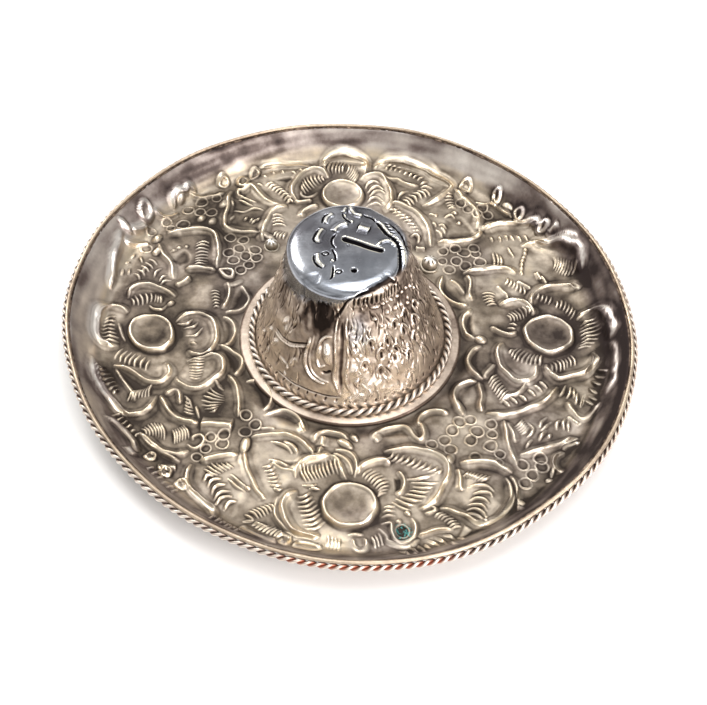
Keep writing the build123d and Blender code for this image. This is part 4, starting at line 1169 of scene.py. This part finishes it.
def crown_section():
    """Outer line of the crown from its top to the foot flange: radius, height and outward normal."""
    wall = np.array([CROWN_FOOT_RADIUS - CROWN_NECK_RADIUS, CROWN_FLANGE_HEIGHT - CROWN_NECK_HEIGHT])
    wall /= np.hypot(*wall)
    normal = np.array([-wall[1], wall[0]])
    neck_normal = np.array([0.99, 0.144])
    dome_edge = np.array([CROWN_DOME_RADIUS, CROWN_DOME_HEIGHT])
    apex = CROWN_HIGH[2] - HALF_SHEET
    rows = []
    dome_drop = apex - CROWN_DOME_HEIGHT
    for radius in np.arange(CROWN_DOME_STEP, CROWN_DOME_RADIUS, CROWN_DOME_STEP):
        height = apex - dome_drop * (radius / CROWN_DOME_RADIUS) ** 2
        slope = 2 * dome_drop * radius / CROWN_DOME_RADIUS ** 2
        rows.append((radius, height, slope / math.hypot(1, slope), 1 / math.hypot(1, slope)))
    top = np.array([CROWN_TOP_RADIUS + 0.1, CROWN_SHOULDER_HEIGHT - 0.9])
    for t in np.linspace(0, 1, 20):
        start, end = np.array([0.1, 0.995]), neck_normal
        middle = np.array([14.2, 33.8])
        point = (1 - t) ** 2 * dome_edge + 2 * t * (1 - t) * middle + t ** 2 * top
        facing = (1 - t) * start + t * end
        facing /= np.hypot(*facing)
        rows.append((*point, *facing))
    neck = np.array([CROWN_NECK_RADIUS, CROWN_NECK_HEIGHT])
    foot = np.array([CROWN_FOOT_RADIUS - 0.35, 2.2])
    side = curve([top, (14.48, 30.4), neck, (16.4, 23.6), (18.5, 17.3), (21, 9.9), foot], pieces=40)
    lengths = np.concatenate([[0], np.cumsum(np.hypot(*np.diff(side, axis=0).T))])
    for reach in np.arange(CROWN_WALL_STEP, lengths[-1], CROWN_WALL_STEP):
        point = np.array([np.interp(reach, lengths, side[:, k]) for k in (0, 1)])
        ahead = np.array([np.interp(reach + 0.3, lengths, side[:, k]) for k in (0, 1)]) - point
        if np.hypot(*ahead) > 0.05:
            facing = np.array([-ahead[1], ahead[0]]) / np.hypot(*ahead)
        rows.append((*point, *facing))
    corner = np.array([CROWN_FOOT_RADIUS, CROWN_FLANGE_HEIGHT])
    end = np.array([CROWN_FOOT_RADIUS + 0.9, CROWN_FLANGE_HEIGHT])
    for t in np.linspace(0, 1, 6)[1:]:
        point = (1 - t) ** 2 * foot + 2 * t * (1 - t) * corner + t ** 2 * end
        facing = (1 - t) * normal + t * np.array([0, 1.0])
        facing /= np.hypot(*facing)
        rows.append((*point, *facing))
    for radius in np.arange(end[0] + 0.5, CROWN_FLANGE_RADIUS, 0.5):
        rows.append((radius, CROWN_FLANGE_HEIGHT, 0.0, 1.0))
    return rows


# How far down the smooth polished cap reaches: (degrees round the crown, height)
POLISH_REACH = ((-180, 28.0), (-160, 27.6), (-140, 28.0), (-125, 29.6), (-108, 30.4), (-95, 31.8),
                (-70, 33.4), (-45, 33.6), (-20, 33.2), (10, 33.6), (60, 33.6), (100, 32.6), (150, 29.6))


def polish_edge(degrees):
    """Height at which the polished cap gives way to the chased wall."""
    places, heights = np.array(POLISH_REACH, float).T
    return np.interp(degrees, places, heights, period=360)


def stain_and_shade_patch(degrees, height):
    """Dark patch on the near left shoulder of the wall: partly a stain, partly painted shade and painted
    dark reflection.
    """
    across = (degrees + 118) / 19
    down = (height - 26.5) / 5.8
    return np.clip(1.2 * (1.15 - np.hypot(across, down)), 0, 1)


def make_crown(material):
    """The hollow crown as one closed sheet: polished cap, chased wall, flange and inner face."""
    wall = crown_wall_chasing()
    wall.smoke = wall.noise(0.5)
    top = crown_top_chasing()
    rows = crown_section()
    turn = np.arange(CROWN_AROUND) * 2 * math.pi / CROWN_AROUND - math.pi
    degrees = np.degrees(turn)
    edge = polish_edge(degrees)
    fade = 1.2 + 1.6 * smooth((33 - edge) / 3)
    rings, values = [], []

    def ring(radius, height, normal_r, normal_z, push):
        """One ring of the wall, which was raised by hand: a slight lean and a soft squareness."""
        r = radius + normal_r * push
        z = height + normal_z * push
        share = np.clip((z - 2) / 32, 0, 1)
        swell = 1 + 0.006 * np.sin(3 * turn + 1.1) * share + 0.004 * np.sin(5 * turn) * share
        x = r * swell * np.cos(turn) + CROWN_LEAN_X * share
        return np.stack([x, r * swell * np.sin(turn), np.broadcast_to(z, x.shape)], 1)

    for radius, height, normal_r, normal_z in rows:
        plan_x, plan_y = radius * np.cos(turn), radius * np.sin(turn)
        around = turn * CROWN_UNROLL_RADIUS
        level = np.full(CROWN_AROUND, height)
        on = 1 - smooth((height - edge + fade / 2) / fade)
        relief = top.sample(top.height, plan_x, plan_y) * (1 - on)
        relief = relief + wall.sample(wall.height, around, level) * on
        calm = 1.0 if height > 2.2 else 0.0
        rings.append(ring(radius, height, normal_r, normal_z, HALF_SHEET + relief * calm))
        # Darker high on the wall, from the front round the right side.
        upper_wall_darkening = smooth((height - 19) / 10) * smooth((degrees + 104) / 8) * smooth((70 - degrees) / 30)
        # Lower wall on the left and front made lighter: a painted highlight.
        painted_low_highlight = smooth((21 - height) / 9) * smooth((-20 - degrees) / 30)
        smoke = 0.7 + 0.5 * wall.sample(wall.smoke, around, 4 + level / 3)
        shade = wall.sample(wall.patina, around, level) - 0.10 * upper_wall_darkening + 0.06 * painted_low_highlight
        # The dark patch, partly stain and partly painted shade and dark reflection, broken up into
        # streaks.
        shade = shade - 0.6 * np.clip(smoke, 0, 1.3) * stain_and_shade_patch(degrees, height)
        values.append(top.sample(top.patina, plan_x, plan_y) * (1 - on) + shade * on)
    for a in np.linspace(0, math.pi, 5):
        rings.append(ring(CROWN_FLANGE_RADIUS + HALF_SHEET * math.sin(a),
                          CROWN_FLANGE_HEIGHT + HALF_SHEET * math.cos(a), 0, 0, 0))
        values.append(np.full(CROWN_AROUND, 0.3))
    for row in rows[::-6]:
        rings.append(ring(*row, -HALF_SHEET))
        values.append(np.full(CROWN_AROUND, 0.15))
    poles = [((CROWN_LEAN_X, 0, CROWN_HIGH[2]), 0, False),
             ((CROWN_LEAN_X, 0, CROWN_HIGH[2] - 2 * HALF_SHEET), len(rings) - 1, True)]
    vertices, faces = ring_mesh(rings, poles=poles)
    values = np.concatenate(values + [[0.42, 0.15]])
    piece = new_piece("chased_crown", vertices, faces, values, material)
    share = np.zeros(len(vertices))
    fade = 0.7 + 2.4 * smooth((33 - edge) / 3)
    # Where the wall takes the cap's colour, and with it the cap's painted reflection: the polished cap,
    # and by about half a patch at mid height on the front.
    wiped = 0.55 * np.clip(1.3 - np.abs(degrees + 84) / 9, 0, 1)
    for number, (_, height, _, _) in enumerate(rows):
        polished = smooth((height - edge + 0.7 * fade) / fade)
        near = wiped * np.clip(1.4 - abs(height - 23) / 4, 0, 1)
        share[number * CROWN_AROUND:(number + 1) * CROWN_AROUND] = np.maximum(polished, near)
    share[-2] = 1
    polish = piece.data.attributes.new("polish", "FLOAT", "POINT")
    polish.data.foreach_set("value", share.astype(np.float32))
    return piece


def tube(path, radius, sides):
    """Rings of points round a closed path. radius may vary along it."""
    ahead = np.roll(path, -1, 0) - np.roll(path, 1, 0)
    ahead /= np.linalg.norm(ahead, axis=1)[:, None]
    up = np.array([0, 0, 1.0])
    side = np.cross(ahead, up)
    side /= np.linalg.norm(side, axis=1)[:, None]
    over = np.cross(side, ahead)
    angle = np.arange(sides) * 2 * math.pi / sides
    radius = np.broadcast_to(radius, len(path))[:, None, None]
    spread = np.cos(angle)[None, :, None] * side[:, None] + np.sin(angle)[None, :, None] * over[:, None]
    return path[:, None] + radius * spread


ROPE_SIDES = 12
ROPE_STEPS_PER_TURN = 14


def rope_strand(name, nodes, turns, start, material, on_rim):
    """One twisted wire of a rope, wound as in the CAD strand, with small uneven twists."""
    boxes = [cad_box_mm(node) for node in nodes]
    low = np.min([b[0] for b in boxes], 0)
    high = np.max([b[1] for b in boxes], 0)
    rope_radius = (high[2] - low[2]) / 2
    middle = (high[2] + low[2]) / 2
    ring_radius = high[0] - rope_radius
    wire = rope_radius / 2
    count = turns * ROPE_STEPS_PER_TURN
    t = np.arange(count) * 2 * math.pi / count
    uneven = sum(a * np.sin(n * t + p) for n, a, p in ((3, 0.35, 0.4), (7, 0.22, 2.1), (17, 0.12, 4.0)))
    roll = turns * t + start + uneven
    lay = wire * (1 + 0.05 * np.sin(5 * t + 1))
    reach = ring_radius + lay * np.cos(roll)
    path = np.stack([reach * np.cos(t), reach * np.sin(t), middle + lay * np.sin(roll)], 1)
    points = tube(path, wire, ROPE_SIDES).reshape(-1, 3)
    centre = np.stack([ring_radius * np.cos(t), ring_radius * np.sin(t), np.full(count, middle)], 1)
    centre = np.repeat(centre, ROPE_SIDES, 0)
    outward = np.linalg.norm(points - centre, axis=1) / (2 * wire)
    values = np.clip(1.3 * (outward - 0.4), 0, 0.78)
    if on_rim:
        points = np.stack(warped(*points.T), 1)
    vertices, faces = ring_mesh(list(points.reshape(count, ROPE_SIDES, 3)), closed=True)
    return new_piece(name, vertices, faces, values, material)


def make_rim_wire(material):
    """The smooth band round the lip, a little uneven in thickness."""
    radius = (WIRE_HIGH[2] - WIRE_LOW[2]) / 2
    ring_radius = WIRE_HIGH[0] - radius
    middle = (WIRE_HIGH[2] + WIRE_LOW[2]) / 2
    count, sides = 900, 14
    t = np.arange(count) * 2 * math.pi / count
    path = np.stack([ring_radius * np.cos(t), ring_radius * np.sin(t), np.full(count, middle)], 1)
    thick = radius * (1 + 0.05 * np.sin(11 * t) + 0.04 * np.sin(29 * t + 1) + 0.03 * np.sin(53 * t))
    points = tube(path, thick, sides).reshape(-1, 3)
    points = np.stack(warped(*points.T), 1)
    vertices, faces = ring_mesh(list(points.reshape(count, sides, 3)), closed=True)
    angle = np.tile(np.arange(sides) * 2 * math.pi / sides, count)
    # Lighter on the wire's top and darker underneath: painted light and shade.
    return new_piece("lip_wire", vertices, faces, 0.42 + 0.14 * np.sin(angle), material)


def make_solder(material):
    """The lumpy dark seam of solder just inside the lip wire."""
    count, sides = 1500, 8
    t = np.arange(count) * 2 * math.pi / count
    lumps = np.zeros(count)
    for n in (23, 41, 67, 97, 149, 211, 290):
        lumps += np.sin(n * t + rng.uniform(0, 6.3)) * rng.uniform(0.5, 1)
    lumps = lumps / lumps.std()
    wire = (WIRE_HIGH[2] - WIRE_LOW[2]) / 2
    radius = WIRE_HIGH[0] - 2 * wire - 0.1 + 0.04 * lumps
    height = LIP_HEIGHT + 0.28 + 0.05 * np.roll(lumps, 7)
    path = np.stack([radius * np.cos(t), radius * np.sin(t), height], 1)
    points = tube(path, np.clip(0.26 + 0.06 * lumps, 0.12, 0.42), sides).reshape(-1, 3)
    points = np.stack(warped(*points.T), 1)
    vertices, faces = ring_mesh(list(points.reshape(count, sides, 3)), closed=True)
    values = np.repeat(0.2 + 0.06 * lumps, sides)
    return new_piece("solder_seam", vertices, faces, values, material)


def make_bead(name, node, material):
    """A soldered ball with a chased top and a small collar of solder at its foot."""
    low, high = cad_box_mm(node)
    middle = (low + high) / 2
    radius = (high[0] - low[0]) / 2
    centre_z = high[2] - radius
    count = 64
    t = np.arange(count) * 2 * math.pi / count
    rings, values = [], []

    def ring(r, z):
        return np.stack([middle[0] + r * np.cos(t), middle[1] + r * np.sin(t), np.full(count, z)], 1)

    for a in np.linspace(0.08, 2.3, 26):
        petals = 0.07 * radius * np.sin(7 * t) * math.sin(min(a, 1.2) * 2.4) ** 2
        dent = 0.05 * radius * np.cos(2 * t + 1) * math.sin(a)
        rings.append(ring((radius + petals + dent) * math.sin(a), centre_z + radius * math.cos(a)))
        # Lightest at the top of the ball and darker down its side: painted light and shade; the chased
        # petals lighter on their swells.
        values.append(np.clip(0.75 + 3 * petals - 0.28 * a, 0, 1))
    foot_z = low[2] + 0.75
    for grow, rise in ((0.92, 0.25), (1.08, 0.32), (1.18, 0.15), (1.2, -0.3), (0.8, -0.5)):
        rings.append(ring(radius * grow * (1 + 0.03 * np.sin(5 * t)), foot_z + rise))
        values.append(np.full(count, 0.4))
    poles = [((middle[0], middle[1], centre_z + radius), 0, False),
             ((middle[0], middle[1], foot_z - 0.5), len(rings) - 1, True)]
    vertices, faces = ring_mesh(rings, poles=poles)
    # The top point is a painted highlight and the bottom point darker.
    values = np.concatenate(values + [[0.9, 0.3]])
    return new_piece(name, vertices, faces, values, material)


# ---------------------------------------------------------------- materials

class Nodes:
    """Short calls for building a node tree."""

    def __init__(self, name):
        self.material = bpy.data.materials.new(name)
        self.material.use_nodes = True
        self.tree = self.material.node_tree
        self.shader = self.tree.nodes["Principled BSDF"]

    def add(self, kind, **settings):
        node = self.tree.nodes.new(kind)
        for key, value in settings.items():
            setattr(node, key, value)
        return node

    def link(self, a, b):
        self.tree.links.new(a, b)

    def source(self, name):
        """What feeds one of the shader's inputs so far."""
        return self.shader.inputs[name].links[0].from_socket

    def place(self):
        """X, Y and Z of a point on the object."""
        parts = self.add("ShaderNodeSeparateXYZ")
        self.link(self.add("ShaderNodeTexCoord").outputs["Object"], parts.inputs[0])
        return parts.outputs

    def noise(self, scale, detail=6.0, roughness=0.6):
        place = self.add("ShaderNodeTexCoord")
        node = self.add("ShaderNodeTexNoise")
        node.inputs["Scale"].default_value = scale
        node.inputs["Detail"].default_value = detail
        node.inputs["Roughness"].default_value = roughness
        self.link(place.outputs["Object"], node.inputs["Vector"])
        return node.outputs["Fac"]

    def scratches(self):
        """Fine scratches that run one way across the metal."""
        place = self.add("ShaderNodeTexCoord")
        turn = self.add("ShaderNodeMapping")
        turn.inputs["Rotation"].default_value = (0, 0, -0.55)
        turn.inputs["Scale"].default_value = (1, 14, 1)
        node = self.add("ShaderNodeTexNoise")
        node.inputs["Scale"].default_value = 190
        node.inputs["Detail"].default_value = 5
        self.link(place.outputs["Object"], turn.inputs["Vector"])
        self.link(turn.outputs["Vector"], node.inputs["Vector"])
        return node.outputs["Fac"]

    def attribute(self, name):
        return self.add("ShaderNodeAttribute", attribute_name=name).outputs["Fac"]

    def math(self, operation, a, b):
        node = self.add("ShaderNodeMath", operation=operation)
        for socket, value in zip(node.inputs, (a, b)):
            if isinstance(value, (int, float)):
                socket.default_value = value
            else:
                self.link(value, socket)
        return node.outputs[0]

    def spread(self, value, low, high, new_low, new_high):
        node = self.add("ShaderNodeMapRange")
        self.link(value, node.inputs["Value"])
        for key, number in zip(("From Min", "From Max", "To Min", "To Max"),
                               (low, high, new_low, new_high)):
            node.inputs[key].default_value = number
        return node.outputs["Result"]

    def ramp(self, value, stops):
        node = self.add("ShaderNodeValToRGB")
        while len(node.color_ramp.elements) < len(stops):
            node.color_ramp.elements.new(0.5)
        for element, (place, colour) in zip(node.color_ramp.elements, stops):
            element.position = place
            element.color = (*colour, 1)
        self.link(value, node.inputs["Fac"])
        return node.outputs["Color"]

    def mix(self, share, a, b):
        node = self.add("ShaderNodeMix", data_type="RGBA")
        self.link(share, node.inputs["Factor"])
        for socket, value in ((node.inputs["A"], a), (node.inputs["B"], b)):
            if isinstance(value, tuple):
                socket.default_value = (*value, 1)
            else:
                self.link(value, socket)
        return node.outputs["Result"]

    def bump(self, value, strength, distance):
        node = self.add("ShaderNodeBump")
        node.inputs["Strength"].default_value = strength
        node.inputs["Distance"].default_value = distance
        self.link(value, node.inputs["Height"])
        self.link(node.outputs["Normal"], self.shader.inputs["Normal"])


DIRT = (0.05, 0.04, 0.033)
TARNISH = (0.185, 0.152, 0.118)
GREY_SILVER = (0.385, 0.333, 0.270)
OLIVE_SILVER = (0.58, 0.490, 0.365)
WARM_SILVER = (0.80, 0.685, 0.515)
BRIGHT_SILVER = (0.90, 0.88, 0.84)
COPPER = (0.44, 0.14, 0.08)
VERDIGRIS = (0.12, 0.42, 0.40)

# The ring of green tarnish in a small cup at the front, in metres
VERDIGRIS_PLACE = (0.011, -0.0566, 0.0018)
VERDIGRIS_RADIUS = 0.0016


def silver(name, stops, mottling=0.22, rough=(0.68, 0.34), bump=0.25):
    """Old silver: dirt in the hollows, grey fields, bright crests, mottled tarnish and scratches."""
    n = Nodes(name)
    patina = n.attribute("patina")
    cloud = n.noise(90, 5)
    grain = n.noise(900, 4)
    soft = n.math("MULTIPLY", n.math("SUBTRACT", cloud, 0.5), mottling * 1.6)
    fine = n.math("MULTIPLY", n.math("SUBTRACT", grain, 0.5), mottling * 0.8)
    value = n.math("ADD", patina, n.math("ADD", soft, fine))
    n.link(n.ramp(value, stops), n.shader.inputs["Base Color"])
    n.link(n.spread(value, 0.15, 0.75, *rough), n.shader.inputs["Roughness"])
    n.shader.inputs["Metallic"].default_value = 1.0
    scratches = n.scratches()
    n.bump(n.math("ADD", n.noise(1400, 3, 0.7), n.math("MULTIPLY", scratches, 1.2)), bump, 0.00006)
    n.value = value
    return n


def brim_silver():
    """Warm silver, violet-grey on the wall and in patches, with a small ring of green tarnish."""
    stops = ((0.08, DIRT), (0.28, TARNISH), (0.46, GREY_SILVER), (0.64, OLIVE_SILVER),
             (0.88, WARM_SILVER))
    violet = ((0.08, (0.05, 0.038, 0.038)), (0.28, (0.165, 0.132, 0.125)), (0.46, (0.36, 0.32, 0.305)),
              (0.66, (0.60, 0.56, 0.535)), (0.88, (0.87, 0.835, 0.80)))
    n = silver("brim_silver", stops)
    on_wall = n.spread(n.place()["Z"], 0.0026, 0.0046, 0.0, 0.85)
    patches = n.spread(n.noise(32, 3), 0.47, 0.62, 0.0, 0.4)
    share = n.math("MAXIMUM", on_wall, patches)
    colour = n.mix(share, n.source("Base Color"), n.ramp(n.value, violet))
    away = n.add("ShaderNodeVectorMath", operation="DISTANCE")
    n.link(n.add("ShaderNodeTexCoord").outputs["Object"], away.inputs[0])
    away.inputs[1].default_value = VERDIGRIS_PLACE
    from_ring = n.math("ABSOLUTE", n.math("SUBTRACT", away.outputs["Value"], VERDIGRIS_RADIUS), 0.0)
    near = n.spread(from_ring, 0.0, 0.0009, 1.0, 0.0)
    spots = n.spread(n.noise(1500, 3), 0.52, 0.6, 0.0, 1.0)
    mixed = n.mix(n.math("MULTIPLY", near, spots), colour, VERDIGRIS)
    n.link(mixed, n.shader.inputs["Base Color"])
    return n.material


def crown_silver():
    """Warm chased silver, and a polished cap whose cool colour is a painted reflection: dark blue-grey,
    lighter towards the front, with pale patches.
    """
    stops = ((0.12, (0.025, 0.018, 0.015)), (0.32, (0.13, 0.095, 0.075)), (0.48, (0.46, 0.38, 0.315)),
             (0.62, (0.76, 0.66, 0.56)), (0.8, (0.93, 0.85, 0.76)))
    n = silver("crown_silver", stops, rough=(0.68, 0.27))
    colour = n.source("Base Color")
    rough = n.source("Roughness")
    patina = n.attribute("patina")
    struck, worn = (0.006, 0.005, 0.006), (0.93, 0.90, 0.78)
    # The polished cap's colours are a painted dark blue-grey reflection, near black in struck grooves and
    # pale where worn.
    polished = n.ramp(patina, ((0.3, struck), (0.41, (0.15, 0.15, 0.17)), (0.5, (0.20, 0.20, 0.22)),
                               (0.57, worn)))
    # clear is a lighter blue-grey painted reflection, used towards the front.
    clear = n.ramp(patina, ((0.3, struck), (0.41, (0.32, 0.345, 0.39)), (0.5, (0.42, 0.445, 0.49)),
                            (0.57, worn)))
    place = n.place()
    # The lighter painted reflection takes over towards the front, unevenly.
    toward = n.math("SUBTRACT", n.math("MULTIPLY", place["X"], 0.35), place["Y"])
    lighter_reflection_toward_front = n.math("ADD", n.spread(toward, -0.004, 0.013, 0.0, 1.0),
                     n.math("SUBTRACT", n.noise(160, 4), 0.5))
    polished = n.mix(lighter_reflection_toward_front, polished, clear)
    # Pale blue-white painted reflection patches on the smooth cap, kept out of its grooves.
    pale_reflection_patches = n.spread(n.noise(120, 5), 0.46, 0.68, 0.0, 0.45)
    polished = n.mix(n.math("MULTIPLY", pale_reflection_patches, n.spread(patina, 0.36, 0.42, 0.0, 1.0)), polished,
                     (0.66, 0.69, 0.75))
    polish = n.attribute("polish")
    n.link(n.mix(polish, colour, polished), n.shader.inputs["Base Color"])
    calm = n.math("SUBTRACT", 1.0, polish)
    sheen = n.spread(patina, 0.25, 0.40, 0.75, 0.21)
    mixed = n.math("ADD", n.math("MULTIPLY", rough, calm), n.math("MULTIPLY", polish, sheen))
    n.link(mixed, n.shader.inputs["Roughness"])
    return n.material


def rope_silver(name, tint, copper_red_front=False):
    """Silver of a twisted rope. At the front, the hollows between the wires are tinted copper red."""
    stops = ((0.08, (0.10, 0.07, 0.06)), (0.38, tint), (0.68, (0.58, 0.51, 0.44)),
             (0.92, (0.84, 0.79, 0.72)))
    n = silver(name, stops, 0.25, (0.7, 0.4))
    if copper_red_front:
        colour = n.source("Base Color")
        place = n.place()
        front = n.spread(place["Y"], -0.0625, -0.067, 0.0, 1.0)
        hollow = n.spread(n.attribute("patina"), 0.3, 0.75, 0.85, 0.0)
        left = n.spread(place["X"], -0.020, -0.012, 0.0, 1.0)
        right = n.spread(place["X"], 0.027, 0.018, 0.0, 1.0)
        # Copper-red tint in the hollows between the wires along the front.
        share = n.math("MULTIPLY", n.math("MULTIPLY", front, hollow), n.math("MULTIPLY", left, right))
        n.link(n.mix(share, colour, COPPER), n.shader.inputs["Base Color"])
    return n.material


def wire_silver():
    stops = ((0.1, (0.05, 0.035, 0.03)), (0.35, (0.24, 0.18, 0.14)), (0.6, (0.56, 0.46, 0.35)),
             (0.85, (0.80, 0.71, 0.58)))
    return silver("wire_silver", stops, 0.4).material


def bead_silver():
    stops = ((0.1, DIRT), (0.4, (0.5, 0.45, 0.37)), (0.8, BRIGHT_SILVER))
    return silver("bead_silver", stops, 0.15).material


def floor_material():
    n = Nodes("paper_floor")
    n.link(n.ramp(n.noise(6, 3), ((0.3, (0.86, 0.86, 0.86)), (0.7, (0.90, 0.90, 0.895)))),
           n.shader.inputs["Base Color"])
    n.shader.inputs["Roughness"].default_value = 0.8
    return n.material


# ---------------------------------------------------------------- pieces

def on_root(piece, slot, *nodes):
    """Fastens a piece to the body and hides the CAD nodes that it stands for. The material slot is not
    used.
    """
    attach(piece, "root")
    if nodes:
        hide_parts(*nodes)


on_root(make_brim(brim_silver()), "brim_silver", "brim")
on_root(make_crown(crown_silver()), "crown_silver", "crown")
band = wire_silver()
on_root(make_rim_wire(band), "wire_silver", "rim_wire")
on_root(make_solder(band), "wire_silver")

RIM_STRANDS = ("rim_rope_strand_1", "rim_rope_strand_2")
CROWN_STRANDS = ("crown_rope_strand_1", "crown_rope_strand_2")
rim_silver = rope_silver("rim_rope_silver", (0.31, 0.235, 0.20), True)
foot_silver = rope_silver("crown_rope_silver", (0.29, 0.25, 0.215))
for number, start in enumerate((0, math.pi)):
    name = f"rope_wire_{number + 1}"
    strand = rope_strand("rim_" + name, RIM_STRANDS, RIM_ROPE_TURNS, start, rim_silver, True)
    on_root(strand, "rim_rope_silver", RIM_STRANDS[number])
    strand = rope_strand("crown_" + name, CROWN_STRANDS, CROWN_ROPE_TURNS, start, foot_silver, False)
    on_root(strand, "crown_rope_silver", CROWN_STRANDS[number])

bead = bead_silver()
on_root(make_bead("silver_bead_left", "bead_left", bead), "bead_silver", "bead_left")
on_root(make_bead("silver_bead_right", "bead_right", bead), "bead_silver", "bead_right")


# ---------------------------------------------------------------- floor, lights and camera

def make_floor():
    half = 1.6
    mesh = bpy.data.meshes.new("floor")
    mesh.from_pydata([(-half, -half, 0), (half, -half, 0), (half, half, 0), (-half, half, 0)], [],
                     [(0, 1, 2, 3)])
    mesh.materials.append(floor_material())
    floor = bpy.data.objects.new("floor", mesh)
    bpy.context.scene.collection.objects.link(floor)


def softbox(name, place, target, size, power, colour=(1, 1, 1)):
    """A soft light that faces a target."""
    light = bpy.data.lights.new(name, "AREA")
    light.shape = "RECTANGLE"
    light.size, light.size_y = size
    light.energy = power
    light.color = colour
    lamp = bpy.data.objects.new(name, light)
    lamp.location = place
    lamp.rotation_euler = (Vector(target) - Vector(place)).to_track_quat("-Z", "Y").to_euler()
    bpy.context.scene.collection.objects.link(lamp)


def make_world():
    """A bright studio with soft darker patches, which the metal mirrors."""
    world = bpy.data.worlds.new("studio")
    world.use_nodes = True
    background = world.node_tree.nodes["Background"]
    background.inputs["Strength"].default_value = 0.8
    tree = world.node_tree
    place = tree.nodes.new("ShaderNodeTexCoord")
    cloud = tree.nodes.new("ShaderNodeTexNoise")
    cloud.inputs["Scale"].default_value = 2.1
    cloud.inputs["Detail"].default_value = 2.0
    tree.links.new(place.outputs["Generated"], cloud.inputs["Vector"])
    ramp = tree.nodes.new("ShaderNodeValToRGB")
    ramp.color_ramp.elements[0].position = 0.36
    ramp.color_ramp.elements[0].color = (0.20, 0.19, 0.185, 1)
    ramp.color_ramp.elements[1].position = 0.62
    ramp.color_ramp.elements[1].color = (1.35, 1.32, 1.28, 1)
    tree.links.new(cloud.outputs["Fac"], ramp.inputs["Fac"])
    tree.links.new(ramp.outputs["Color"], background.inputs["Color"])
    bpy.context.scene.world = world


def make_camera():
    """Looks down on the dish from the front, a little to one side."""
    elevation = math.radians(52.6)
    side_turn = math.radians(-2.2)
    roll = math.radians(1.65)
    distance = 0.2947
    target = Vector((0.000748, -0.006313, 0.0020))
    turn = Matrix.Rotation(side_turn, 3, "Z")
    back = turn @ Vector((0, -math.cos(elevation), math.sin(elevation)))
    right = turn @ Vector((1, 0, 0))
    up = back.cross(right)
    right, up = math.cos(roll) * right + math.sin(roll) * up, math.cos(roll) * up - math.sin(roll) * right
    camera = bpy.data.cameras.new("camera")
    camera.sensor_width = 36
    camera.lens = 60.1
    camera.clip_start = 0.01
    item = bpy.data.objects.new("camera", camera)
    axes = Matrix((right, up, back)).transposed().to_4x4()
    item.matrix_world = Matrix.Translation(target + distance * back) @ axes
    bpy.context.scene.collection.objects.link(item)
    bpy.context.scene.camera = item


make_floor()
make_world()
make_camera()
softbox("back_left_box", (-0.34, 0.38, 0.44), (0, 0, 0), (0.26, 0.26), 2.2, (1.0, 0.98, 0.95))
softbox("front_right_box", (0.42, -0.40, 0.36), (0, 0, 0), (0.32, 0.32), 3.6, (1.0, 0.93, 0.90))
softbox("front_low_box", (0.24, -0.58, 0.14), (0, 0.05, 0), (0.44, 0.26), 1.5, (1.0, 0.96, 0.94))
softbox("overhead_box", (0.1, 0.1, 0.9), (0, 0, 0), (0.5, 0.5), 3.8)

bpy.context.scene.view_settings.view_transform = "Standard"
